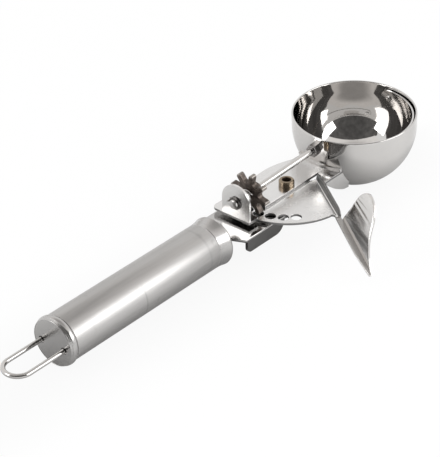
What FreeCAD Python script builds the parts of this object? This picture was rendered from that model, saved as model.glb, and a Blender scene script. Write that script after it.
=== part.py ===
"""Lever ice cream scoop: a round steel bowl on a tubular handle. A thumb lever with a row of
holes turns a toothed wheel on a long rod, and the rod sweeps a scraper blade round the bowl.

Units are millimetres. The X axis is the axis of the handle, and points to the bowl. The origin is
the centre of the flat face of the rear cap. Z is up, out of the bowl's mouth, and the thumb lever
stands out towards -Y.
"""
import FreeCAD, Part
import math
import os

from FreeCAD import Vector

# Handle
tube_diameter = 22.0
tube_wall = 0.8
cap_length = 4.4
tube_length = 89.6
nose_length = 8.0
nose_flare = 0.75
nose_rounding = 1.3
nose_seam = 0.2
nose_plate = 2.0
cap_plate = 1.2
cap_chamfer = 0.5
cap_groove = 0.35
bead_height = 0.6
spigot_length = 6.0
spigot_wall = 1.0
press_clearance = 0.02

# Hanging loop
loop_wire = 2.2
loop_spacing = 13.0
loop_straight = 19.1
loop_drop = 1.0
loop_hole_clearance = 0.5
loop_head_ledge = 1.0
loop_head_length = 1.5

# Stack of sheets at the pivot, from the top down: upper sheet, lever, washer, lower sheet
sheet = 1.2
base_sheet = 1.5
upper_sheet_top = 4.91
lever_gap = 0.1
washer_thickness = 0.45
washer_radius = 7.4
washer_gap = 0.05
tube_to_pivot = 51.5
pivot_to_bowl = 21.5

# Lower frame sheet
tang_end_gap = 0.6
tang_width = 12.0
base_width = 26.8
neck_start = 3.4
neck_length = 6.9
side_flange_start = 7.6
side_flange_length = 26.0
side_flange_depth = 7.4
side_flange_front_radius = 6.0
side_flange_rear_radius = 2.5
base_bulge = 15.0
base_front = 14.0
base_front_width = 20.5
seat_radius = 2.2
seat_place = Vector(11.5, 7.0, 0)

# Tang block and pin inside the tube
block_length = 14.0
tang_pin_diameter = 3.0
tang_pin_end_gap = 1.0

# Upper frame sheet; the three points are measured from the pivot
bar_width = 8.8
ear_width = 16.0
ear_rise = 0.89
rear_strip = 6.4
upper_far_rear = 14.4
far_waist = Vector(-12.0, 13.6, 0)
far_bulge = Vector(1.0, 16.4, 0)
far_shoulder = Vector(20.0, 12.6, 0)
upper_corner = 3.0
upper_front_width = 24.6
upper_front_reach = 12.0
saddle_rise = 2.1
gusset_start = 13.9
gusset_reach = 10.5
gusset_depth = 11.1
gusset_toe = 3.5
gusset_toe_rise = 0.4
gusset_belly = Vector(-0.5, 0, -0.9)
flare_gap = 0.65
window_gap = 0.6

# Lever
fan_rim = 2.4
fan_rear_angle = 166.0
fan_corner_angle = 3.0
hub_radius = 9.0
front_edge_start = Vector(15.65, -6.8, 0)
front_edge_end = Vector(-4.0, -35.0, 0)
front_edge_inset = 1.2
lever_flange = 3.9
flange_fold = 1.0
flange_inner_slope = 2.0
flange_outer_slope = 3.0
flange_outer_height = 3.2
arm_direction = Vector(-15.0, -30.0, -13.0)
arm_length = 34.0
arm_strip = 2.6
arm_strip_end = 1.3
pad_lean = Vector(4.5, -11.0, 20.3)
pad_radius = 34.0
pad_middle = 8.0
pad_height = 19.5
pad_root = 1.0

# Outline of the thumb pad, as shares of the arm's length and of the pad's height
pad_outline = [
    (0.79, 0.17),
    (0.62, 0.46),
    (0.46, 0.80),
    (0.27, 0.98),
    (0.10, 1.00),
    (0.03, 0.80),
    (0.06, 0.38),
    (0.04, 0.00),
]

# Drive: a row of holes in the lever and a toothed wheel on the rod
hole_circle = 26.3
holes_per_turn = 28
hole_count = 5
hole_radius = 2.55
tooth_count = 8
tooth_floor_gap = 0.45
tooth_root_radius = 5.9
tooth_half_width = 1.1
wheel_thickness = 3.2
wheel_hub_wall = 2.1
wheel_hub_length = 3.2
wheel_rest_angle = 10.0
wheel_pin_diameter = 1.2
wheel_pin_stand = 0.5

# Pivot bush of the lever
bush_shank_diameter = 6.0
bush_bore_diameter = 4.2
bush_head_ledge = 0.7
bush_head_height = 3.0
bush_head_chamfer = 0.5
bush_foot_ledge = 1.2
bush_foot_height = 0.8
running_clearance = 0.06

# Rod and its bearings
rod_diameter = 3.0
rod_slope = 2.4
rod_head_ledge = 0.8
rod_head_length = 1.3
rod_head_rounding = 0.8
inner_head_length = 1.0
ear_washer_ledge = 1.7
ear_washer_thickness = 0.5
axial_gap = 0.15
rod_bush_wall = 0.7
rod_bush_shoulder = 0.6
rod_bush_length = 3.4

# Return spring
spring_room = 7.5
spring_wire = 0.9
spring_clearance = 0.8
spring_turns = 4.25
spring_start_angle = 45.0
spring_end_gap = 0.28
spring_leg = 2.6
spring_bend = 1.1
spring_hook = 0.8
spring_leg_clearance = 0.3

# Bowl and scraper
bowl_diameter = 60.0
bowl_wall = 0.9
bowl_band = 6.1
bowl_rim_height = 22.15
rim_rounding = 0.35
scraper_gap = 0.35
scraper_sheet = 0.8
scraper_width = 9.0
pivot_pin_diameter = 3.0
pivot_pin_inside = 0.6
pivot_pin_ledge = 1.3
pivot_pin_head_length = 1.2

# How far a cutting or joining shape reaches past the face that it works on
overreach = 1.0

# Values worked out from the ones above
handle_end = cap_length + tube_length + nose_length
tube_radius = tube_diameter / 2
tube_bore = tube_radius - tube_wall
pivot_x = handle_end + tube_to_pivot
pivot = Vector(pivot_x, 0, 0)
upper_sheet_bottom = upper_sheet_top - sheet
lever_top = upper_sheet_bottom - lever_gap
lever_bottom = lever_top - sheet
base_top = lever_bottom - washer_gap - washer_thickness
base_bottom = base_top - base_sheet
bowl_radius = bowl_diameter / 2
bowl_x = pivot_x + pivot_to_bowl + bowl_radius
bowl_centre = Vector(bowl_x, 0, bowl_rim_height - bowl_band)
wheel_x = pivot_x - hole_circle
ear_x = wheel_x - wheel_thickness / 2 - spring_room - sheet
slope = math.tan(math.radians(rod_slope))
wheel_axis_height = bowl_centre.z + (wheel_x - bowl_x) * slope
ear_axis_height = bowl_centre.z + (ear_x - bowl_x) * slope
tooth_tip_radius = wheel_axis_height - base_top - tooth_floor_gap
hole_pitch = 360.0 / holes_per_turn
lever_ratio = holes_per_turn / tooth_count
fan_radius = hole_circle + hole_radius + fan_rim
rod_radius = rod_diameter / 2
rod_head_radius = rod_radius + rod_head_ledge
wheel_hub_radius = rod_radius + wheel_hub_wall
spring_radius = rod_radius + spring_clearance + spring_wire / 2
spring_pitch = (spring_room - spring_wire - 2 * spring_end_gap) / spring_turns
rod_bush_radius = rod_radius + rod_bush_wall
scraper_radius = bowl_radius - bowl_wall - scraper_gap

X = Vector(1, 0, 0)
Y = Vector(0, 1, 0)
Z = Vector(0, 0, 1)


def along_rod(x):
    """Distance along the sloping rod from the bowl's centre to the upright plane at x."""
    return (x - bowl_x) / math.cos(math.radians(rod_slope))


def tilt(shape):
    """Moves a shape from the rod's own frame, centred in the bowl, to its place on the scoop."""
    shape.rotate(Vector(0, 0, 0), Y, -rod_slope)
    shape.translate(bowl_centre)
    return shape


def on_circle(radius, degrees, z=0.0):
    """A point on a circle about the Z axis."""
    angle = math.radians(degrees)
    return Vector(radius * math.cos(angle), radius * math.sin(angle), z)


def line(start, end):
    return Part.makeLine(start, end)


def arc(start, middle, end):
    return Part.Arc(start, middle, end).toShape()


def face_of(edges):
    """A flat face inside a closed run of edges."""
    return Part.Face(Part.Wire(Part.__sortEdges__(edges)))


def polygon(points):
    return Part.Face(Part.makePolygon(points + [points[0]]))


def rod_between(start, end, diameter):
    """A round bar from one point to another."""
    axis = end - start
    return Part.makeCylinder(diameter / 2, axis.Length, start, axis)


def fused(shapes):
    """One solid made of shapes that overlap."""
    whole = shapes[0].fuse(shapes[1:]) if len(shapes) > 1 else shapes[0]
    return whole.removeSplitter()


def handle_tube():
    tube = Part.makeCylinder(tube_radius, tube_length, Vector(cap_length, 0, 0), X)
    bore = Part.makeCylinder(tube_bore, tube_length, Vector(cap_length, 0, 0), X)
    return tube.cut(bore)


def rear_cap():
    """A pressed cap: flat plate, chamfer, rounded bead between two seams, and a spigot."""
    outer = tube_radius
    seam = outer - cap_groove
    bead_start = cap_chamfer + 2 * cap_groove
    bead_end = cap_length - cap_groove
    spigot = tube_bore - press_clearance
    end = cap_length + spigot_length
    edges = [
        line(Vector(0, 0, 0), Vector(0, 0, outer - cap_chamfer)),
        line(Vector(0, 0, outer - cap_chamfer), Vector(cap_chamfer, 0, outer)),
        line(Vector(cap_chamfer, 0, outer), Vector(cap_chamfer + cap_groove, 0, seam)),
        line(Vector(cap_chamfer + cap_groove, 0, seam), Vector(bead_start, 0, outer)),
        arc(
            Vector(bead_start, 0, outer),
            Vector((bead_start + bead_end) / 2, 0, outer + bead_height),
            Vector(bead_end, 0, outer),
        ),
        line(Vector(bead_end, 0, outer), Vector(cap_length, 0, seam)),
        line(Vector(cap_length, 0, seam), Vector(cap_length, 0, spigot)),
        line(Vector(cap_length, 0, spigot), Vector(end, 0, spigot)),
        line(Vector(end, 0, spigot), Vector(end, 0, spigot - spigot_wall)),
        line(Vector(end, 0, spigot - spigot_wall), Vector(cap_plate, 0, spigot - spigot_wall)),
        line(Vector(cap_plate, 0, spigot - spigot_wall), Vector(cap_plate, 0, 0)),
        line(Vector(cap_plate, 0, 0), Vector(0, 0, 0)),
    ]
    cap = face_of(edges).revolve(Vector(0, 0, 0), X, 360)
    for side in (-1, 1):
        root = Vector(-overreach, side * loop_spacing / 2, -loop_drop)
        hole = Part.makeCylinder(loop_wire / 2 + loop_hole_clearance, cap_plate + 2 * overreach, root, X)
        cap = cap.cut(hole)
    return cap


def hanging_loop():
    """A bent wire whose two legs pass through the cap and are headed behind its plate."""
    half = loop_spacing / 2
    bend_x = -loop_straight
    near_end = Vector(cap_plate + loop_head_length, -half, -loop_drop)
    far_end = near_end + Y * loop_spacing
    near_bend = Vector(bend_x, -half, -loop_drop)
    far_bend = near_bend + Y * loop_spacing
    path = Part.Wire([
        line(near_end, near_bend),
        arc(near_bend, Vector(bend_x - half, 0, -loop_drop), far_bend),
        line(far_bend, far_end),
    ])
    section = Part.Wire([Part.makeCircle(loop_wire / 2, near_end, X)])
    wire = path.makePipeShell([section], True, False)
    head_radius = loop_wire / 2 + loop_head_ledge
    heads = [
        Part.makeCylinder(head_radius, loop_head_length, end - X * loop_head_length, X)
        for end in (near_end, far_end)
    ]
    return fused([wire] + heads)


def tang_slot(start, length):
    """The space that the tang of the lower sheet takes in the pieces that it passes through."""
    return Part.makeBox(
        length,
        tang_width + 2 * press_clearance,
        base_sheet + 2 * press_clearance,
        Vector(start, -tang_width / 2 - press_clearance, base_bottom - press_clearance),
    )


def front_cap():
    """The flared collar that closes the front of the tube round the tang."""
    start = cap_length + tube_length
    outer = tube_radius
    spigot = tube_bore - press_clearance
    flared = outer + nose_flare
    flare_end = handle_end - nose_rounding
    flare_start = start + nose_seam
    turn = 1 - math.cos(math.pi / 4)
    edges = [
        line(Vector(start - spigot_length, 0, 0), Vector(start - spigot_length, 0, spigot)),
        line(Vector(start - spigot_length, 0, spigot), Vector(start, 0, spigot)),
        line(Vector(start, 0, spigot), Vector(start, 0, outer - nose_seam)),
        line(Vector(start, 0, outer - nose_seam), Vector(flare_start, 0, outer)),
        arc(
            Vector(flare_start, 0, outer),
            Vector((flare_start + flare_end) / 2, 0, outer + nose_flare / 4),
            Vector(flare_end, 0, flared),
        ),
        arc(
            Vector(flare_end, 0, flared),
            Vector(handle_end - nose_rounding * turn, 0, flared - nose_rounding * turn),
            Vector(handle_end, 0, flared - nose_rounding),
        ),
        line(Vector(handle_end, 0, flared - nose_rounding), Vector(handle_end, 0, 0)),
        line(Vector(handle_end, 0, 0), Vector(start - spigot_length, 0, 0)),
    ]
    cap = face_of(edges).revolve(Vector(0, 0, 0), X, 360)
    hollow_length = spigot_length + nose_length - nose_plate
    hollow = Part.makeCylinder(spigot - spigot_wall, hollow_length, Vector(start - spigot_length, 0, 0), X)
    return cap.cut(hollow).cut(tang_slot(start, nose_length + overreach))


def tang_block_start():
    return cap_length + tube_length - spigot_length - block_length


def tang_block():
    """A block pressed into the tube that grips the tang."""
    start = tang_block_start()
    block = Part.makeCylinder(tube_bore - press_clearance, block_length, Vector(start, 0, 0), X)
    return block.cut(tang_slot(start - overreach, block_length + 2 * overreach)).cut(tang_pin())


def tang_pin():
    """An upright pin through the block and the tang."""
    centre = Vector(tang_block_start() + block_length / 2, 0, 0)
    reach = tube_bore - tang_pin_end_gap
    return rod_between(centre - Z * reach, centre + Z * reach, tang_pin_diameter)


def raised_seat():
    """Where the lower sheet is raised to meet the upper one, clear of the lever's hub."""
    height = upper_sheet_bottom - base_bottom
    return Part.makeCylinder(seat_radius, height, pivot + seat_place + Z * base_bottom)


def side_flange(side):
    """A side of the lower sheet, bent down, with a large round at its front lower corner."""
    start = handle_end + side_flange_start
    end = start + side_flange_length
    low = base_top - side_flange_depth
    front = side_flange_front_radius
    rear = side_flange_rear_radius
    high = base_top - base_sheet / 2
    turn = 1 - math.cos(math.pi / 4)
    y = side * base_width / 2
    edges = [
        line(Vector(start, y, high), Vector(end, y, high)),
        line(Vector(end, y, high), Vector(end, y, low + front)),
        arc(
            Vector(end, y, low + front),
            Vector(end - front * turn, y, low + front * turn),
            Vector(end - front, y, low),
        ),
        line(Vector(end - front, y, low), Vector(start + rear, y, low)),
        arc(
            Vector(start + rear, y, low),
            Vector(start + rear * turn, y, low + rear * turn),
            Vector(start, y, low + rear),
        ),
        line(Vector(start, y, low + rear), Vector(start, y, high)),
    ]
    return face_of(edges).extrude(Y * (-side * base_sheet))


def base_plate():
    """The lower frame sheet: tang, waist, two sides bent down and a rounded part under the lever."""
    tang_start = tang_block_start() + tang_end_gap
    half = base_width / 2
    flange_end = handle_end + side_flange_start + side_flange_length
    front_x = pivot_x + base_front
    near = [
        Vector(tang_start, -tang_width / 2, 0),
        Vector(handle_end + neck_start, -tang_width / 2, 0),
        Vector(handle_end + neck_length, -half, 0),
        Vector(flange_end, -half, 0),
    ]
    far = [Vector(point.x, -point.y, 0) for point in reversed(near)]
    front_half = base_front_width / 2
    edges = [line(near[i], near[i + 1]) for i in range(len(near) - 1)]
    edges += [line(far[i], far[i + 1]) for i in range(len(far) - 1)]
    edges.append(line(far[-1], near[0]))
    edges.append(arc(near[-1], Vector(pivot_x, -base_bulge, 0), Vector(front_x, -front_half, 0)))
    edges.append(line(Vector(front_x, -front_half, 0), Vector(front_x, front_half, 0)))
    edges.append(arc(Vector(front_x, front_half, 0), Vector(pivot_x, base_bulge, 0), far[0]))
    plate = face_of(edges)
    plate.translate(Z * base_bottom)
    solid = plate.extrude(Z * base_sheet)
    solid = fused([solid, side_flange(-1), side_flange(1), raised_seat()])
    hole = Part.makeCylinder(bush_shank_diameter / 2, base_sheet, pivot + Z * base_bottom)
    return solid.cut(hole).cut(tang_pin())


def upper_outline():
    """The flat outline of the upper sheet, with a window for the wheel, open on the near side."""
    near_y = -bar_width / 2
    ear_half = ear_width / 2
    front_half = upper_front_width / 2
    window_rear = ear_x + rear_strip
    window_front = wheel_x + wheel_thickness / 2 + wheel_hub_length + window_gap
    depth = wheel_axis_height - upper_sheet_top
    window_y = math.sqrt(tooth_tip_radius ** 2 - depth ** 2) + window_gap
    front_x = bowl_x - bowl_radius + upper_front_reach
    corner = upper_corner
    rear_far = Vector(ear_x, upper_far_rear - corner, 0)
    turn = corner * (1 - math.cos(math.pi / 4))
    points = [
        Vector(ear_x, -ear_half, 0),
        Vector(window_rear, -ear_half, 0),
        Vector(window_rear, window_y, 0),
        Vector(window_front, window_y, 0),
        Vector(window_front, near_y, 0),
        flare_point(near_y),
        flare_point(-front_half),
        Vector(front_x, -front_half, 0),
        Vector(front_x, front_half, 0),
        pivot + far_shoulder,
    ]
    edges = [line(points[i], points[i + 1]) for i in range(len(points) - 1)]
    edges.append(arc(points[-1], pivot + far_bulge, pivot + far_waist))
    edges.append(line(pivot + far_waist, Vector(ear_x + corner, upper_far_rear, 0)))
    edges.append(arc(
        Vector(ear_x + corner, upper_far_rear, 0),
        Vector(ear_x + turn, upper_far_rear - turn, 0),
        rear_far,
    ))
    edges.append(line(rear_far, points[0]))
    return face_of(edges)


def flare_point(y):
    """A point on the slanted edge of the upper sheet, which lies just outside the lever's flange."""
    along = front_edge_line()
    outside = Vector(-along.y, along.x, 0) * flare_gap
    start = pivot + front_edge_start + outside
    return start + along * ((y - start.y) / along.y)


def ear():
    """The upright rear bearing, with a round top."""
    half = ear_width / 2
    high = ear_axis_height + ear_rise
    edges = [
        line(Vector(ear_x, -half, high), Vector(ear_x, -half, upper_sheet_bottom)),
        line(Vector(ear_x, -half, upper_sheet_bottom), Vector(ear_x, half, upper_sheet_bottom)),
        line(Vector(ear_x, half, upper_sheet_bottom), Vector(ear_x, half, high)),
        arc(Vector(ear_x, half, high), Vector(ear_x, 0, high + half), Vector(ear_x, -half, high)),
    ]
    return face_of(edges).extrude(X * sheet)


def gusset(side):
    """A side of the upper sheet, bent down beside the bowl, with a curved lower edge."""
    y = side * upper_front_width / 2
    start = pivot_x + gusset_start
    end = bowl_x - bowl_radius + gusset_reach
    low = upper_sheet_top - gusset_depth
    toe = Vector(end - gusset_toe, y, low + gusset_toe_rise)
    heel = Vector(start, y, upper_sheet_bottom)
    middle = (toe + heel) * 0.5 + gusset_belly
    edges = [
        line(Vector(start, y, upper_sheet_top), Vector(end, y, upper_sheet_top)),
        line(Vector(end, y, upper_sheet_top), Vector(end, y, low)),
        line(Vector(end, y, low), toe),
        arc(toe, middle, heel),
        line(Vector(start, y, upper_sheet_bottom), Vector(start, y, upper_sheet_top)),
    ]
    return face_of(edges).extrude(Y * (-side * sheet))


def upper_plate():
    """The upper frame sheet: bar, wide far side, upright ear, and a saddle that holds the bowl."""
    plate = upper_outline()
    plate.translate(Z * upper_sheet_bottom)
    plate = plate.extrude(Z * sheet)
    outer = Part.makeSphere(bowl_radius + sheet, bowl_centre)
    rise = upper_sheet_top + saddle_rise - upper_sheet_bottom
    corner = Vector(bowl_x - bowl_radius - 2 * sheet, -upper_front_width / 2, upper_sheet_bottom)
    slab = Part.makeBox(bowl_radius, upper_front_width, rise, corner)
    saddle = outer.common(slab)
    solid = fused([plate, ear(), saddle, gusset(-1), gusset(1)])
    solid = solid.cut(Part.makeSphere(bowl_radius, bowl_centre))
    solid = solid.cut(Part.makeCylinder(bush_shank_diameter / 2, sheet, pivot + Z * upper_sheet_bottom))
    return solid.cut(ear_holes())


def ear_holes():
    """The bearing hole of the rod and the small hole of the spring's leg, through the ear."""
    start = along_rod(ear_x) - sheet
    bearing = Part.makeCylinder(rod_radius + running_clearance, 3 * sheet, Vector(start, 0, 0), X)
    return tilt(bearing.fuse(rear_leg_hole()))


def bowl():
    """A half sphere with an upright band above it, and a hole at each end of the rod's line."""
    outer = bowl_radius
    inner = bowl_radius - bowl_wall
    rounding = rim_rounding
    turn = 1 - math.cos(math.pi / 4)
    diagonal = math.cos(math.pi / 4)
    edges = [
        arc(Vector(0, 0, -outer), Vector(outer * diagonal, 0, -outer * diagonal), Vector(outer, 0, 0)),
        line(Vector(outer, 0, 0), Vector(outer, 0, bowl_band - rounding)),
        arc(
            Vector(outer, 0, bowl_band - rounding),
            Vector(outer - rounding * turn, 0, bowl_band - rounding * turn),
            Vector(outer - rounding, 0, bowl_band),
        ),
        line(Vector(outer - rounding, 0, bowl_band), Vector(inner + rounding, 0, bowl_band)),
        arc(
            Vector(inner + rounding, 0, bowl_band),
            Vector(inner + rounding * turn, 0, bowl_band - rounding * turn),
            Vector(inner, 0, bowl_band - rounding),
        ),
        line(Vector(inner, 0, bowl_band - rounding), Vector(inner, 0, 0)),
        arc(Vector(inner, 0, 0), Vector(inner * diagonal, 0, -inner * diagonal), Vector(0, 0, -inner)),
        line(Vector(0, 0, -inner), Vector(0, 0, -outer)),
    ]
    shell = face_of(edges).revolve(Vector(0, 0, 0), Z, 360)
    bush_hole = Part.makeCylinder(rod_bush_radius, outer, Vector(-outer - overreach, 0, 0), X)
    pin_hole = Part.makeCylinder(pivot_pin_diameter / 2, outer, Vector(overreach, 0, 0), X)
    return tilt(shell.cut(bush_hole).cut(pin_hole))


def bowl_body(radius):
    """A sphere with a cylinder above its middle: the space inside one face of the bowl."""
    return Part.makeSphere(radius).fuse(Part.makeCylinder(radius, radius))


def rod_bush():
    """The six-sided bearing where the rod enters the bowl."""
    across = (rod_bush_radius + rod_bush_shoulder) * 2 / math.sqrt(3)
    start = -bowl_radius - rod_bush_length
    length = rod_bush_length + 2 * overreach
    corners = [on_circle(across, 60 * i) for i in range(6)]
    hexagon = polygon([Vector(start, corner.x, corner.y) for corner in corners]).extrude(X * length)
    hexagon = hexagon.cut(bowl_body(bowl_radius))
    shank = Part.makeCylinder(rod_bush_radius, length, Vector(start, 0, 0), X)
    shank = shank.cut(bowl_body(bowl_radius - bowl_wall))
    bore = Part.makeCylinder(rod_radius + running_clearance, length + 2 * overreach,
                             Vector(start - overreach, 0, 0), X)
    return tilt(fused([hexagon, shank]).cut(bore))


def far_pivot_pin():
    """The pin on the far side of the bowl on which the scraper turns, headed on the outside."""
    radius = pivot_pin_diameter / 2
    inner_end = scraper_radius - scraper_sheet - pivot_pin_inside
    outer_end = bowl_radius + pivot_pin_head_length
    shank = Part.makeCylinder(radius, outer_end - inner_end, Vector(inner_end, 0, 0), X)
    head = Part.makeCylinder(radius + pivot_pin_ledge, pivot_pin_head_length + overreach,
                             Vector(bowl_radius - overreach, 0, 0), X)
    head = head.cut(bowl_body(bowl_radius))
    return tilt(fused([shank, head]))


def scraper_blade():
    """A thin half ring that follows the bowl's inside, with a round eye at each end."""
    outer = scraper_radius
    inner = outer - scraper_sheet
    half = scraper_width / 2
    shell = Part.makeSphere(outer).cut(Part.makeSphere(inner))
    reach = outer + overreach
    band = Part.makeBox(2 * reach, reach, scraper_width, Vector(-reach, -reach, -half))
    eyes = Part.makeCylinder(half, 2 * reach, Vector(-reach, 0, 0), X)
    blade = shell.common(band.fuse(eyes))
    rod_hole = Part.makeCylinder(rod_radius, outer, Vector(-reach, 0, 0), X)
    pin_hole = Part.makeCylinder(pivot_pin_diameter / 2 + running_clearance, outer,
                                 Vector(overreach, 0, 0), X)
    return tilt(blade.cut(rod_hole).cut(pin_hole))


def ear_washer_radius():
    return rod_radius + ear_washer_ledge


def washer_start():
    """Where the washer behind the ear begins, measured along the rod."""
    lean = ear_washer_radius() * math.sin(math.radians(rod_slope))
    return along_rod(ear_x) - lean - ear_washer_thickness


def rod():
    """The long rod, headed behind the ear and inside the bowl, with a cross hole for its pin."""
    rear = washer_start() - axial_gap - rod_head_length
    eye = -scraper_radius + scraper_sheet
    bar = Part.makeCylinder(rod_radius, eye + inner_head_length - rear, Vector(rear, 0, 0), X)
    rear_head = Part.makeCylinder(rod_head_radius, rod_head_length, Vector(rear, 0, 0), X)
    rear_head = rear_head.makeFillet(rod_head_rounding, [rear_head.Edges[0]])
    inner_head = Part.makeCylinder(rod_head_radius, inner_head_length + overreach,
                                   Vector(eye - overreach, 0, 0), X)
    inner_head = inner_head.common(Part.makeSphere(scraper_radius - scraper_sheet))
    return tilt(fused([bar, rear_head, inner_head]).cut(wheel_pin_shape()))


def ear_washer():
    """A washer on the rod behind the ear."""
    start = washer_start()
    disc = Part.makeCylinder(ear_washer_radius(), ear_washer_thickness, Vector(start, 0, 0), X)
    hole = Part.makeCylinder(rod_radius + running_clearance, ear_washer_thickness + 2 * overreach,
                             Vector(start - overreach, 0, 0), X)
    return tilt(disc.cut(hole).cut(rear_leg_hole()))


def wheel_outline():
    """Teeth with parallel sides and round tips, joined by round gaps, about the X axis."""
    half_pitch = math.pi / tooth_count
    gap_centre = (tooth_root_radius - tooth_half_width) / (1 - math.sin(half_pitch))
    tip_centre = tooth_tip_radius - tooth_half_width
    edges = []
    for tooth in range(tooth_count):
        angle = math.radians(wheel_rest_angle) + 2 * half_pitch * tooth
        out = Vector(0, math.sin(angle), -math.cos(angle))
        side = Vector(0, math.cos(angle), math.sin(angle))
        flank = gap_centre * math.cos(half_pitch)
        before = out * flank - side * tooth_half_width
        after = out * flank + side * tooth_half_width
        tip_before = out * tip_centre - side * tooth_half_width
        tip_after = out * tip_centre + side * tooth_half_width
        edges.append(line(before, tip_before))
        edges.append(arc(tip_before, out * tooth_tip_radius, tip_after))
        edges.append(line(tip_after, after))
        gap_angle = angle + half_pitch
        gap_out = Vector(0, math.sin(gap_angle), -math.cos(gap_angle))
        next_angle = angle + 2 * half_pitch
        next_out = Vector(0, math.sin(next_angle), -math.cos(next_angle))
        next_side = Vector(0, math.cos(next_angle), math.sin(next_angle))
        following = next_out * flank - next_side * tooth_half_width
        edges.append(arc(after, gap_out * tooth_root_radius, following))
    return face_of(edges)


def wheel_rear():
    """Where the rear face of the wheel lies along the rod."""
    return along_rod(wheel_x) - wheel_thickness / 2


def wheel_pin_shape():
    """The pin across the wheel's hub and the rod, in the rod's own frame."""
    centre = Vector(wheel_rear() + wheel_thickness + wheel_hub_length / 2, 0, 0)
    reach = wheel_hub_radius + wheel_pin_stand
    return rod_between(centre - Y * reach, centre + Y * reach, wheel_pin_diameter)


def star_wheel():
    """The toothed wheel, with a hub towards the bowl and a blind hole for the spring's leg."""
    disc = wheel_outline()
    disc.translate(X * wheel_rear())
    disc = disc.extrude(X * wheel_thickness)
    hub = Part.makeCylinder(wheel_hub_radius, wheel_thickness + wheel_hub_length,
                            Vector(wheel_rear(), 0, 0), X)
    bore = Part.makeCylinder(rod_radius, wheel_thickness + wheel_hub_length + 2 * overreach,
                             Vector(wheel_rear() - overreach, 0, 0), X)
    leg = leg_start(spring_turns, spring_tangent(spring_turns), X)
    leg_hole = Part.makeCylinder(spring_wire / 2 + spring_leg_clearance,
                                 overreach + spring_hook + spring_leg_clearance,
                                 Vector(wheel_rear() - overreach, leg.y, leg.z), X)
    return tilt(fused([disc, hub]).cut(bore).cut(wheel_pin_shape()).cut(leg_hole))


def wheel_pin():
    return tilt(wheel_pin_shape())


def spring_start():
    """Where the spring's first turn begins along the rod, between the ear and the wheel."""
    return wheel_rear() - spring_room / 2 - spring_turns * spring_pitch / 2


def spring_angle(turn):
    return 2 * math.pi * turn + math.radians(spring_start_angle)


def spring_point(turn):
    """A point on the spring's centre line, in the rod's own frame."""
    angle = spring_angle(turn)
    return Vector(
        spring_start() + spring_pitch * turn,
        spring_radius * math.cos(angle),
        spring_radius * math.sin(angle),
    )


def spring_tangent(turn):
    angle = spring_angle(turn)
    around = 2 * math.pi * spring_radius
    way = Vector(spring_pitch, -around * math.sin(angle), around * math.cos(angle))
    return way.normalize()


def biarc(start, start_way, end, end_way):
    """Two arcs that leave one point and reach another in the given directions."""
    chord = end - start
    both = start_way + end_way
    a = 2 * (1 - start_way.dot(end_way))
    b = 2 * chord.dot(both)
    c = -chord.dot(chord)
    reach = (-b + math.sqrt(b * b - 4 * a * c)) / (2 * a)
    joint = (start + start_way * reach + end - end_way * reach) * 0.5
    arcs = []
    for first, way, last in ((start, start_way, joint), (end, end_way * -1, joint)):
        half = last - first
        middle_way = (way + (half * (1 / half.Length))).normalize()
        cosine = middle_way.dot(half) / half.Length
        middle = first + middle_way * (half.Length / 2 / cosine)
        ordered = (first, middle, last) if first is start else (last, middle, first)
        arcs.append(arc(*ordered))
    return arcs


def leg_start(turn, way, along):
    """Where a leg of the spring begins, after the bend from going round to going along the rod."""
    flat = Vector(0, way.y, way.z).normalize()
    return spring_point(turn) + (flat + along) * spring_bend


def rear_leg_hole():
    """The hole that lets the spring's rear leg through, in the rod's own frame."""
    leg = leg_start(0, spring_tangent(0) * -1, X * -1)
    start = Vector(along_rod(ear_x) - 3 * sheet, leg.y, leg.z)
    return Part.makeCylinder(spring_wire / 2 + spring_leg_clearance, 6 * sheet, start, X)


def return_spring():
    """A coiled wire round the rod, with a leg through the ear and a leg into the wheel."""
    quarters = int(round(spring_turns * 4))
    rear_leg = leg_start(0, spring_tangent(0) * -1, X * -1)
    rear_end = Vector(along_rod(ear_x) - spring_leg, rear_leg.y, rear_leg.z)
    edges = [line(rear_end, rear_leg)]
    edges += biarc(rear_leg, X, spring_point(0), spring_tangent(0))
    for quarter in range(quarters):
        begin = quarter / 4.0
        finish = begin + 0.25
        edges += biarc(spring_point(begin), spring_tangent(begin),
                       spring_point(finish), spring_tangent(finish))
    front_leg = leg_start(spring_turns, spring_tangent(spring_turns), X)
    edges += biarc(spring_point(spring_turns), spring_tangent(spring_turns), front_leg, X)
    edges.append(line(front_leg, Vector(wheel_rear() + spring_hook, front_leg.y, front_leg.z)))
    report_spring_gap([spring_point(step / 24.0) for step in range(quarters * 6 + 1)])
    path = Part.Wire(edges)
    section = Part.Wire([Part.makeCircle(spring_wire / 2, rear_end, X)])
    return tilt(path.makePipeShell([section], True, False))


def report_spring_gap(samples):
    """Prints the least gap between one turn of the spring and the next."""
    apart = 12
    least = min(
        (samples[i] - samples[j]).Length
        for i in range(len(samples))
        for j in range(i + apart, len(samples))
    )
    print("spring: least gap between turns", round(least - spring_wire, 3), "mm")


def pivot_bush():
    """A headed brass bush with an open bore, the pivot of the lever."""
    shank_radius = bush_shank_diameter / 2
    foot_z = base_bottom - bush_foot_height
    height = upper_sheet_top + bush_head_height - foot_z
    shank = Part.makeCylinder(shank_radius, height, pivot + Z * foot_z)
    head = Part.makeCylinder(shank_radius + bush_head_ledge, bush_head_height,
                             pivot + Z * upper_sheet_top)
    rings = [edge for edge in head.Edges if is_ring_at(edge, head.BoundBox.ZMax)]
    head = head.makeChamfer(bush_head_chamfer, rings)
    foot = Part.makeCylinder(shank_radius + bush_foot_ledge, bush_foot_height, pivot + Z * foot_z)
    bore = Part.makeCylinder(bush_bore_diameter / 2, height + 2 * overreach,
                             pivot + Z * (foot_z - overreach))
    return fused([shank, head, foot]).cut(bore)


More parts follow.
